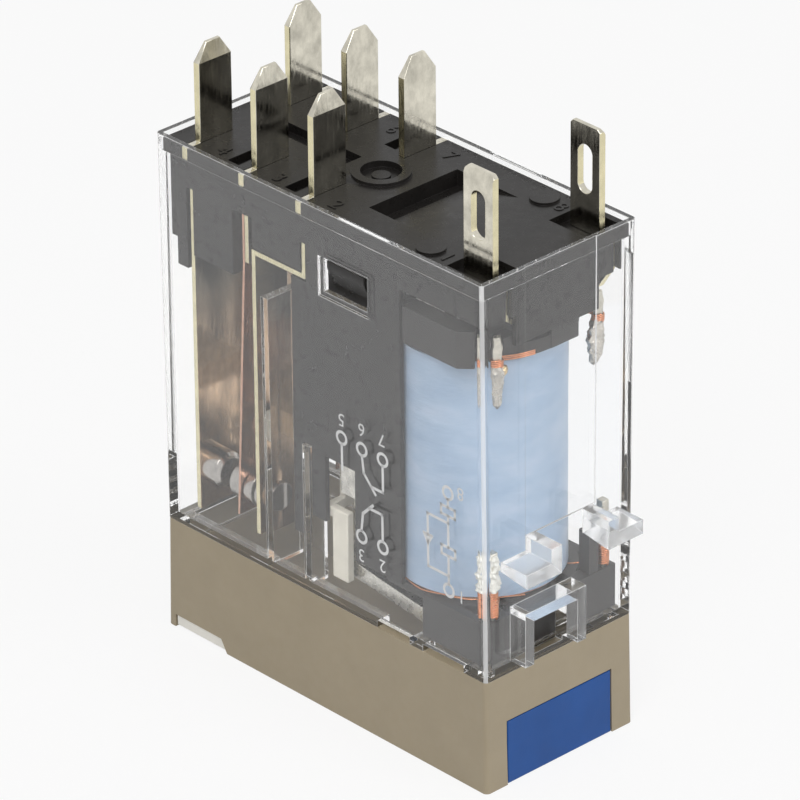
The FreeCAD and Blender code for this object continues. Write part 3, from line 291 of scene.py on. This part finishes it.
# A milky white for the cover's rounded edges and corners: a painted glint.
cover_painted_glint = clear_plastic("cover_painted_glint", frost=0.16, milk=0.5, flow_size=0.6)
cover_print = plastic(
    "cover_print", (0.7, 0.7, 0.7), shade=0.1, rough=0.6, grain=0.003, grain_size=14.0
)
strip_tin = strip_metal("strip_tin")
brass_edge = metal("brass_edge", (0.72, 0.66, 0.44), shade=0.15, rough=0.26)
tape_blue = tape_material("tape_blue")


# Meshes and objects


def placed(name, data):
    """An object linked to the scene."""
    piece = bpy.data.objects.new(name, data)
    bpy.context.scene.collection.objects.link(piece)
    return piece


def new_object(name, mesh, made, body="housing"):
    """A piece of one material that rides on a body."""
    piece = placed(name, mesh)
    piece.data.materials.clear()
    piece.data.materials.append(made)
    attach(piece, body)
    return piece


def smooth_by_angle(mesh, degrees=32):
    mesh.shade_smooth()
    mesh.set_sharp_from_angle(angle=math.radians(degrees))


def cad_copy(node):
    """A copy of a CAD node's mesh for editing, with its doubled vertices joined."""
    shape = bmesh.new()
    shape.from_mesh(nodes[node].data)
    bmesh.ops.remove_doubles(shape, verts=shape.verts, dist=0.0005 * MM)
    return shape


def finished_mesh(name, shape):
    mesh = bpy.data.meshes.new(name)
    shape.to_mesh(mesh)
    shape.free()
    return mesh


def curve_mesh(curve):
    """The mesh of a curve or a text."""
    carrier = placed(curve.name, curve)
    mesh = bpy.data.meshes.new_from_object(carrier)
    bpy.data.objects.remove(carrier)
    return mesh


def on_circle(centre, radius, angle, height):
    """A point on a level circle."""
    return (centre.x + radius * math.cos(angle), centre.y + radius * math.sin(angle), height)


# Pieces made from CAD nodes


def dressed(node, made, width, edge=None):
    """A copy of a CAD node with small rounded edges, shown in the node's place.

    With edge, the rounded edges are of that second material.
    """
    shape = cad_copy(node)
    bmesh.ops.dissolve_limit(
        shape, angle_limit=math.radians(1.0), verts=shape.verts, edges=shape.edges
    )
    mesh = finished_mesh(node + "_dressed", shape)
    smooth_by_angle(mesh)
    piece = new_object(node + "_dressed", mesh, made, body_of[node])
    bevel = piece.modifiers.new("edges", "BEVEL")
    bevel.width = width * MM
    bevel.segments = 2
    bevel.limit_method = "ANGLE"
    bevel.angle_limit = math.radians(35)
    bevel.use_clamp_overlap = True
    if edge:
        piece.data.materials.append(edge)
        bevel.material = 1
    flat = piece.modifiers.new("flat_faces", "WEIGHTED_NORMAL")
    flat.mode = "FACE_AREA"
    flat.weight = 100
    flat.keep_sharp = True
    bpy.context.view_layer.update()
    graph = bpy.context.evaluated_depsgraph_get()
    done = bpy.data.meshes.new_from_object(piece.evaluated_get(graph))
    piece.modifiers.clear()
    piece.data = done
    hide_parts(node)
    return piece


def dress_blades():
    """Blades with brass on their cut edges, and strips inside the cover with painted shade near
    the base and brown further in.
    """
    brass, shade_and_brown = 1, 2
    facing = 0.9
    for blade in (
        "contact_blade_2_nc",
        "contact_blade_3_com",
        "contact_blade_4_no",
        "contact_blade_5_no",
        "contact_blade_6_com",
        "contact_blade_7_nc",
        "coil_blade_1",
        "coil_blade_8",
    ):
        piece = dressed(blade, blade_tin, 0.05)
        piece.data.materials.append(brass_edge)
        piece.data.materials.append(strip_tin)
        # Faces of the strips towards +X take painted shade near the base and brown further in.
        has_strip = blade.endswith(("_nc", "_no"))
        cut_axis = 0 if blade.startswith("coil") else 1
        for face in piece.data.polygons:
            if abs(face.normal[cut_axis]) > facing:
                face.material_index = brass
            elif has_strip and face.normal.x > facing:
                face.material_index = shade_and_brown


def dress_cover():
    """The cover: clear walls, milky corners and rounded edges as a painted glint, frosted lugs
    and a hazy lever hood.
    """
    bright, frosted, hazy = 1, 2, 3
    corner_x, corner_y = 14.2, 6.0
    hood_top = 12.6
    lugs_x, hood_x = 14.62, 14.68
    cover = dressed("clear_cover", cover_clear, 0.06, edge=cover_painted_glint)
    cover.data.materials.append(cover_frosted)
    cover.data.materials.append(cover_hood)
    for face in cover.data.polygons:
        if face.material_index == bright:
            continue
        x, y, z = face.center / MM
        slanted = min(abs(face.normal.x), abs(face.normal.y)) > 0.25
        # Corner faces take the milky white of the rounded edges: a painted glint.
        if slanted and abs(x) > corner_x and abs(y) > corner_y:
            face.material_index = bright
        elif z > hood_top and x > lugs_x:
            face.material_index = frosted
        elif z < hood_top and x > hood_x:
            face.material_index = hazy


def bent_leaf(node, root, bend_end):
    """A copper copy of a spring leaf, shown in the leaf's place.

    It is cut across many times between the two heights.
    """
    cuts = 24
    shape = cad_copy(node)
    for i in range(cuts + 1):
        height = (bend_end + (root - bend_end) * i / cuts) * MM
        everything = list(shape.verts) + list(shape.edges) + list(shape.faces)
        bmesh.ops.bisect_plane(
            shape, geom=everything, plane_co=(0, 0, height), plane_no=(0, 0, 1), dist=1e-9
        )
    mesh = finished_mesh(node + "_leaf", shape)
    smooth_by_angle(mesh)
    mesh.materials.clear()
    mesh.materials.append(spring_copper)
    piece = placed(node + "_leaf", mesh)
    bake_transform(piece)
    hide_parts(node)


# The coil


def lathe(name, profile, centre, steps, made, wobble=None):
    """A surface turned about an upright axis through centre, from radius and height pairs."""
    verts = []
    faces = []
    for i in range(steps):
        angle = 2 * math.pi * i / steps
        for radius, height in profile:
            r = radius + (wobble(angle, height) if wobble else 0.0)
            verts.append(Vector(on_circle(centre, r, angle, height)) * MM)
    count = len(profile)
    for i in range(steps):
        for j in range(count - 1):
            a = i * count + j
            b = ((i + 1) % steps) * count + j
            faces.append((a, b, b + 1, a + 1))
    mesh = bpy.data.meshes.new(name)
    mesh.from_pydata(verts, [], faces)
    smooth_by_angle(mesh, 40)
    return new_object(name, mesh, made)


def make_tape():
    """Tape wound round the coil: soft creases and a raised free end."""
    bottom, top = low("coil_tape"), high("coil_tape")
    radius = (top.x - bottom.x) / 2
    thick, crease = 0.2, 0.03
    foot = bottom.z + 0.25
    rows = 72
    step = (top.z - foot) / rows
    outer = [(radius - crease, foot + step * i) for i in range(rows + 1)]
    profile = [(radius - thick, foot)] + outer + [(radius - thick, top.z)]

    def creases(angle, height):
        if height in (foot, top.z):
            return 0.0
        spot = Vector((math.cos(angle) * 2.2, math.sin(angle) * 2.2, height * 0.22))
        soft = noise.fractal(spot, 1.0, 2.0, 3) * 0.03
        free_end = (angle + 0.25) % (2 * math.pi) < 0.9
        fold = 0.03 if free_end else 0.0
        return min(crease, soft + fold - 0.02)

    piece = lathe("tape_wound", profile, middle("coil_tape"), 144, tape_blue, creases)
    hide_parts("coil_tape")


def make_winding():
    """The copper turns, seen in the gap above the tape and under its lower edge."""
    bottom, top = low("coil_winding"), high("coil_winding")
    radius = (top.x - bottom.x) / 2
    depth, groove, gap = 2.3, 0.07, 0.01
    pitch = 0.14
    turns = int((top.z - bottom.z) / pitch)
    profile = [(radius - depth, bottom.z + gap)]
    for i in range(turns):
        start = bottom.z + gap + i * pitch
        profile += [(radius - groove, start), (radius, start + pitch * 0.5)]
    profile.append((radius - depth, top.z - gap))
    centre = middle("coil_winding")
    piece = lathe("winding_turns", profile, centre, 96, copper_wire)
    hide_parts("coil_winding")


# Wires and solder


def wire(name, path, radius):
    """A round copper wire along a path of points."""
    curve = bpy.data.curves.new(name, "CURVE")
    curve.dimensions = "3D"
    curve.bevel_depth = radius * MM
    curve.bevel_resolution = 3
    spline = curve.splines.new("NURBS")
    spline.points.add(len(path) - 1)
    for point, (x, y, z) in zip(spline.points, path):
        point.co = (x * MM, y * MM, z * MM, 1.0)
    spline.order_u = 3
    spline.use_endpoint_u = True
    spline.resolution_u = 4
    mesh = curve_mesh(curve)
    mesh.shade_smooth()
    return new_object(name, mesh, copper_wire)


def coil_path(centre, radius_x, radius_y, bottom, top, turns):
    """Points of a slightly uneven helix about an upright pin."""
    per_turn = 10
    count = turns * per_turn
    path = []
    for i in range(count + 1):
        angle = 2 * math.pi * i / per_turn
        height = bottom + (top - bottom) * i / count
        loose = 1 + 0.06 * math.sin(3.1 * i)
        x = centre.x + radius_x * loose * math.cos(angle)
        y = centre.y + radius_y * loose * math.sin(angle)
        path.append((x, y, height))
    return path


def drop(name, centre, size, made, rough, seed):
    """A frozen drop of solder."""
    shape = bmesh.new()
    bmesh.ops.create_icosphere(shape, subdivisions=4, radius=1.0)
    for vert in shape.verts:
        push = 1 + rough * noise.fractal(vert.co * 1.6 + Vector((seed, 0, 0)), 1.0, 2.0, 4)
        vert.co = Vector([(c + v * push * s) * MM for c, v, s in zip(centre, vert.co, size)])
    mesh = finished_mesh(name, shape)
    mesh.shade_smooth()
    new_object(name, mesh, made)


def lump_column(name, centre, rings, made, seed, rough):
    """A lumpy drop frozen round an upright wire.

    Each ring is its height, its shift along y and its radii along x and y.
    """
    steps = 36
    rows = 64
    verts = []
    faces = []
    for row in range(rows + 1):
        spot = row / rows * (len(rings) - 1)
        index = min(int(spot), len(rings) - 2)
        share = spot - index
        share = share * share * (3 - 2 * share)
        height, shift, radius_x, radius_y = [
            a + (b - a) * share for a, b in zip(rings[index], rings[index + 1])
        ]
        for step in range(steps):
            angle = 2 * math.pi * step / steps
            unit = Vector((math.cos(angle), math.sin(angle), height * 1.6 + seed))
            push = 1 + rough * noise.fractal(unit * 1.4, 1.0, 2.0, 4)
            x = centre.x + radius_x * push * math.cos(angle)
            y = centre.y + shift + radius_y * push * math.sin(angle)
            verts.append(Vector((x, y, height)) * MM)
    for row in range(rows):
        for step in range(steps):
            a = row * steps + step
            b = row * steps + (step + 1) % steps
            faces.append((a, b, b + steps, a + steps))
    faces.append(tuple(reversed(range(steps))))
    faces.append(tuple(rows * steps + step for step in range(steps)))
    mesh = bpy.data.meshes.new(name)
    mesh.from_pydata(verts, [], faces)
    mesh.shade_smooth()
    return new_object(name, mesh, made)


def make_pin(label, side):
    """A pin of the coil: its tinned hook, the turns round it, its lead and its solder."""
    pin = middle(f"coil_pin_{label}")
    top = high(f"coil_pin_{label}").z
    foot = low(f"coil_pin_{label}").z
    wrap = top - 1.75
    hook = [
        (top + 0.1, 0.0, 0.04, 0.04),
        (top, 0.0, 0.2, 0.26),
        (top - 0.7, 0.04, 0.27, 0.36),
        (top - 1.5, 0.0, 0.25, 0.3),
        (top - 2.2, 0.0, 0.25, 0.3),
    ]
    coat = lump_column(f"pin_coat_{label}", pin, hook, pin_tin, 2.0 + side, 0.12)
    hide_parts(f"coil_pin_{label}")
    wire(f"pin_wrap_{label}", coil_path(pin, 0.31, 0.4, wrap - 0.25, wrap + 0.25, 4), 0.06)
    lead = [
        (pin.x - 1.9, pin.y + side * -0.9, wrap - 0.25),
        (pin.x - 1.1, pin.y + side * -0.2, wrap - 0.1),
        (pin.x - 0.35, pin.y + side * 0.25, wrap),
        (pin.x - 0.3, pin.y + side * 0.3, wrap + 0.1),
    ]
    wire(f"pin_lead_{label}", lead, 0.05)
    if label == "near":
        make_flange_leads(pin, wrap)
        tail = [
            (wrap - 0.2, 0.0, 0.3, 0.36),
            (wrap - 0.6, 0.12, 0.4, 0.5),
            (wrap - 1.2, 0.05, 0.32, 0.4),
            (wrap - 2.2, 0.0, 0.26, 0.34),
            (foot + 0.3, 0.0, 0.22, 0.26),
            (foot, 0.02, 0.04, 0.05),
        ]
        solder = lump_column("solder_tail_near", pin, tail, solder_grey, 7.0, 0.3)
        spot, size = (pin.x + 0.1, pin.y + 0.36, wrap - 0.62), (0.3, 0.36, 0.34)
        drop("solder_near", spot, size, flux_gold, 0.2, 3.0)
    else:
        tail = [
            (wrap + 0.2, 0.0, 0.26, 0.32),
            (wrap - 0.5, -0.12, 0.34, 0.5),
            (wrap - 1.4, -0.2, 0.4, 0.58),
            (wrap - 2.3, -0.22, 0.34, 0.5),
            (foot + 0.2, -0.3, 0.24, 0.3),
            (foot - 0.05, -0.32, 0.05, 0.06),
        ]
        solder = lump_column("solder_tail_far", pin, tail, solder_grey, 11.0, 0.34)
    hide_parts(f"solder_joint_{label}")


def make_flange_leads(pin, wrap):
    """Strands that run from the near pin round the upper flange's edge."""
    edge_radius, edge_height, sink = 5.78, 28.72, 0.12
    coil_x = middle("coil_tape").x
    for strand in range(3):
        lower = strand * sink
        run = [(pin.x - 0.1, pin.y + 0.4, wrap - 0.1 - lower * 0.5)]
        for degrees in (-36, -31, -26, -21, -16, -12):
            angle = math.radians(degrees)
            x, y = coil_x + edge_radius * math.cos(angle), edge_radius * math.sin(angle)
            run.append((x, y, edge_height - lower))
        wire(f"flange_lead_{strand}", run, 0.055)


def make_post(label, side):
    """A post at the coil's foot: the turns round it, its pale crust and its lead."""
    post = middle(f"tap_post_{label}")
    foot = low(f"tap_wire_{label}").z
    top = high(f"tap_wire_{label}").z
    turns = wire(
        f"tap_turns_{label}", coil_path(post, 0.38, 0.38, foot + 0.08, top - 0.05, 12), 0.07
    )
    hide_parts(f"tap_wire_{label}")
    if label == "near":
        # Each pair is a height above the turns and a radius.
        crust = (
            (0.0, 0.3), (0.12, 0.47), (0.3, 0.4), (0.42, 0.5), (0.62, 0.41),
            (0.75, 0.47), (1.0, 0.39), (1.12, 0.48), (1.35, 0.4), (1.5, 0.45),
            (1.75, 0.38), (1.9, 0.46), (2.1, 0.38), (2.3, 0.42), (2.55, 0.3),
        )
        rings = [(top + rise, 0.0, radius, radius) for rise, radius in crust]
        lump_column("tap_coat_near", post, rings, pin_white, 5.0, 0.5)
    end = [
        (post.x, post.y - side * 0.45, foot + 0.5),
        (post.x - 0.6, post.y - side * 1.2, foot + 0.35),
        (post.x - 1.3, post.y - side * 1.9, foot + 0.2),
        (post.x - 2.2, post.y - side * 1.7, foot + 0.1),
    ]
    wire(f"tap_lead_{label}", end, 0.05)


def make_loose_turn():
    """One turn of thin wire that has slipped out under the tape's lower edge."""
    bottom, top = low("coil_tape"), high("coil_tape")
    centre = middle("coil_tape")
    reach = (top.x - bottom.x) / 2 + 0.02
    first, step = -112, 4
    path = []
    for i in range(25):
        angle = math.radians(first + step * i)
        height = bottom.z + 0.17 + 0.06 * math.sin(0.7 * i)
        path.append(on_circle(centre, reach, angle, height))
    wire("loose_turn", path, 0.05)


# Print and numbers


def letter_mesh(name, text, size, thick):
    """The mesh of one character about its middle."""
    curve = bpy.data.curves.new(name, "FONT")
    curve.body = text
    curve.size = size * MM
    curve.extrude = thick * MM
    curve.align_x = "CENTER"
    curve.align_y = "CENTER"
    return curve_mesh(curve)


def wall_y(height):
    """Outer face of the near side wall: it leans in a little towards the cap."""
    top, foot, draft = 35.2, 7.85, 0.22
    return -6.5 + draft * (top - height) / (top - foot)


def make_print():
    """A plain contact diagram in pale ink on the near side wall."""
    ink = 0.012
    line = 0.2
    circle = 0.42
    shape = bmesh.new()

    def quad(corners):
        front = [shape.verts.new(Vector((x, wall_y(z) - ink, z)) * MM) for x, z in corners]
        back = [shape.verts.new(Vector((x, wall_y(z) - ink / 4, z)) * MM) for x, z in corners]
        shape.faces.new(front)
        shape.faces.new(tuple(reversed(back)))
        for i in range(len(corners)):
            k = (i + 1) % len(corners)
            shape.faces.new((front[k], front[i], back[i], back[k]))

    def stroke(*path):
        for (x0, z0), (x1, z1) in zip(path, path[1:]):
            run = Vector((x1 - x0, z1 - z0)).normalized()
            side = Vector((-run.y, run.x)) * line / 2
            start = Vector((x0, z0)) - run * line / 2
            end = Vector((x1, z1)) + run * line / 2
            quad([tuple(start - side), tuple(end - side), tuple(end + side), tuple(start + side)])

    def ring(x, z):
        count = 20
        inner, outer = circle - line / 2, circle + line / 2
        for i in range(count):
            a, b = (2 * math.pi * k / count for k in (i, i + 1))
            quad(
                [
                    (x + inner * math.cos(a), z + inner * math.sin(a)),
                    (x + outer * math.cos(a), z + outer * math.sin(a)),
                    (x + outer * math.cos(b), z + outer * math.sin(b)),
                    (x + inner * math.cos(b), z + inner * math.sin(b)),
                ]
            )

    for x, z in ((2.0, 20.1), (3.8, 20.0), (5.65, 20.0), (3.65, 13.8), (5.55, 13.8)):
        ring(x, z)
    stroke((2.0, 19.65), (2.0, 17.9))
    stroke((3.8, 19.55), (3.95, 18.4), (4.95, 17.3))
    stroke((5.65, 19.55), (5.65, 17.7), (4.6, 17.7))
    stroke((3.65, 14.25), (3.8, 15.5), (4.7, 16.4))
    stroke((5.55, 14.25), (5.55, 16.1), (4.4, 16.1))
    for z in (20.0, 13.2):
        ring(11.4, z)
    stroke((11.4, 19.55), (11.4, 19.0))
    stroke((10.8, 19.0), (12.0, 19.0), (12.0, 18.4), (10.8, 18.4), (10.8, 19.0))
    stroke((11.4, 18.4), (11.4, 16.2))
    stroke((10.8, 16.2), (12.0, 16.2), (12.0, 15.6), (10.8, 15.6), (10.8, 16.2))
    stroke((11.4, 15.6), (11.4, 13.65))
    stroke((11.4, 17.9), (9.6, 17.9), (9.6, 14.2), (11.4, 14.2))
    stroke((9.25, 16.4), (9.95, 16.4), (9.6, 15.8), (9.25, 16.4))
    mesh = finished_mesh("contact_diagram", shape)
    new_object("contact_diagram", mesh, cover_print)
    spots = {
        "5": (2.0, 21.4),
        "6": (3.8, 21.4),
        "7": (5.6, 21.4),
        "3": (3.6, 12.5),
        "2": (5.5, 12.5),
        "8": (12.5, 20.4),
        "1": (12.5, 13.2),
    }
    # The part lies blades up, so the print on its side wall is upside down.
    turn = Matrix.Rotation(math.radians(180), 4, "Y") @ Matrix.Rotation(math.radians(90), 4, "X")
    for text, (x, z) in spots.items():
        letter = letter_mesh(f"print_{text}", text, 1.25, 0.004)
        y = wall_y(z) - ink / 2
        letter.transform(Matrix.Translation((x * MM, y * MM, z * MM)) @ turn)
        new_object(f"print_{text}", letter, cover_print)


def make_numbers():
    """Raised terminal numbers on the base's face."""
    face_z = 34.9
    spots = {
        "1": (9.9, -4.9),
        "2": (0.2, -4.9),
        "3": (-4.9, -4.9),
        "4": (-10.0, -4.9),
        "5": (-10.0, 4.6),
        "6": (-4.9, 4.6),
        "7": (0.2, 4.6),
        "8": (9.9, 4.6),
    }
    for text, (x, y) in spots.items():
        mesh = letter_mesh(f"digit_{text}", text, 1.5, 0.05)
        mesh.transform(Matrix.Translation((x * MM, y * MM, face_z * MM)))
        new_object(f"digit_{text}", mesh, base_black)


dress_blades()
dressed("cap", cap_taupe, 0.09)
dressed("test_lever", lever_blue, 0.07)
dressed("nameplate", plate_white, 0.06)
dressed("base", base_black, 0.05)
dressed("coil_bobbin", bobbin_black, 0.05)
dressed("card", card_ivory, 0.08)
dressed("yoke", magnet_steel, 0.06)
dressed("armature", magnet_steel, 0.06)
dressed("core", magnet_steel, 0.05)
dress_cover()
for label in ("near", "far"):
    dressed(f"moving_contact_{label}", contact_silver, 0.04)
    dressed(f"spring_rivet_{label}", contact_silver, 0.06)
    dressed(f"tap_post_{label}", pin_tin, 0.05)
for contact in ("2_nc", "4_no", "5_no", "7_nc"):
    dressed(f"fixed_contact_{contact}", contact_silver, 0.04)
for label in ("near", "far"):
    bent_leaf(f"contact_spring_{label}", root=28.8, bend_end=24.8)
bent_leaf("hinge_spring", root=19.0, bend_end=11.0)
make_tape()
make_winding()
for label, side in (("near", -1), ("far", 1)):
    make_pin(label, side)
    make_post(label, side)
make_loose_turn()
make_numbers()
make_print()


# Floor, light and camera


def background_share(tree, camera_share=1.0):
    """How much of the plain white a ray sees: all of it in metal and through glass."""
    rays = tree.nodes.new("ShaderNodeLightPath").outputs
    share = tree.nodes.new("ShaderNodeMath")
    share.operation = "MULTIPLY"
    share.inputs[1].default_value = camera_share
    tree.links.new(rays["Is Camera Ray"], share.inputs[0])
    for ray in ("Is Transmission Ray", "Is Glossy Ray"):
        larger = tree.nodes.new("ShaderNodeMath")
        larger.operation = "MAXIMUM"
        tree.links.new(share.outputs[0], larger.inputs[0])
        tree.links.new(rays[ray], larger.inputs[1])
        share = larger
    return share.outputs[0]


def pale_stage():
    """A white floor that keeps a soft shadow, a hair below the cap's face."""
    half = 3.0
    corners = [(-half, -half, 0), (half, -half, 0), (half, half, 0), (-half, half, 0)]
    mesh = bpy.data.meshes.new("floor")
    mesh.from_pydata(corners, [], [(0, 1, 2, 3)])
    floor = placed("floor", mesh)
    floor.location.z = -0.02 * MM
    made = new_material("floor_white")
    n = Nodes(made)
    n.shader.inputs["Base Color"].default_value = (0.85, 0.85, 0.85, 1)
    n.shader.inputs["Roughness"].default_value = 0.9
    glow = n.add("ShaderNodeEmission", Color=(1, 1, 1, 1), Strength=1.0)
    share = background_share(n.tree, 0.85)
    n.mix_shaders(share, n.shader.outputs["BSDF"], glow.outputs["Emission"])
    mesh.materials.append(made)


def soft_world():
    """Soft light from all sides, seen as plain white."""
    world = bpy.data.worlds.new("studio")
    bpy.context.scene.world = world
    world.use_nodes = True
    tree = world.node_tree
    light = tree.nodes["Background"]
    light.inputs["Color"].default_value = (1, 1, 1, 1)
    light.inputs["Strength"].default_value = 0.5
    white = tree.nodes.new("ShaderNodeBackground")
    white.inputs["Color"].default_value = (1, 1, 1, 1)
    white.inputs["Strength"].default_value = 1.0
    mix = tree.nodes.new("ShaderNodeMixShader")
    tree.links.new(background_share(tree), mix.inputs["Fac"])
    tree.links.new(light.outputs["Background"], mix.inputs[1])
    tree.links.new(white.outputs["Background"], mix.inputs[2])
    tree.links.new(mix.outputs["Shader"], tree.nodes["World Output"].inputs["Surface"])


def soft_lamp(name, spot, size, power):
    """A lamp turned to the relay's middle; its spot and size are in metres."""
    lamp = bpy.data.lights.new(name, "AREA")
    lamp.shape = "RECTANGLE"
    lamp.size, lamp.size_y = size
    lamp.energy = power
    piece = placed(name, lamp)
    piece.location = spot
    target = Vector((0, 0, 0.02))
    piece.rotation_euler = (target - Vector(spot)).to_track_quat("-Z", "Y").to_euler()


def photo_camera():
    """The camera that the photograph was taken from, solved from the cover, blades and lugs."""
    azimuth = math.radians(46.87)
    elevation = math.radians(28.49)
    roll = math.radians(-0.52)
    distance = 425.43
    lens = 308.03
    aim = Vector((0, 0, 17.75))
    aim_right, aim_up = 0.29, 1.58
    back = Vector(
        (
            math.sin(azimuth) * math.cos(elevation),
            -math.cos(azimuth) * math.cos(elevation),
            math.sin(elevation),
        )
    )
    right = Vector((0, 0, 1)).cross(back).normalized()
    up = back.cross(right)
    right, up = (
        math.cos(roll) * right + math.sin(roll) * up,
        -math.sin(roll) * right + math.cos(roll) * up,
    )
    place = aim + aim_right * right + aim_up * up + distance * back
    data = bpy.data.cameras.new("camera")
    data.lens = lens
    data.sensor_width = 36.0
    data.clip_start = 0.01
    camera = placed("camera", data)
    turn = Matrix((right, up, back)).transposed()
    camera.matrix_world = Matrix.Translation(place * MM) @ turn.to_4x4()
    bpy.context.scene.camera = camera


pale_stage()
soft_world()
soft_lamp("key", (0.25, -0.35, 0.5), (0.3, 0.3), 1.6)
soft_lamp("side", (0.5, 0.15, 0.25), (0.25, 0.35), 0.7)
photo_camera()
scene = bpy.context.scene
scene.view_settings.view_transform = "Standard"
# Light runs many times between the faces of the clear walls before it comes out at their edges.
scene.cycles.max_bounces = 32
scene.cycles.glossy_bounces = 24
scene.cycles.transmission_bounces = 24
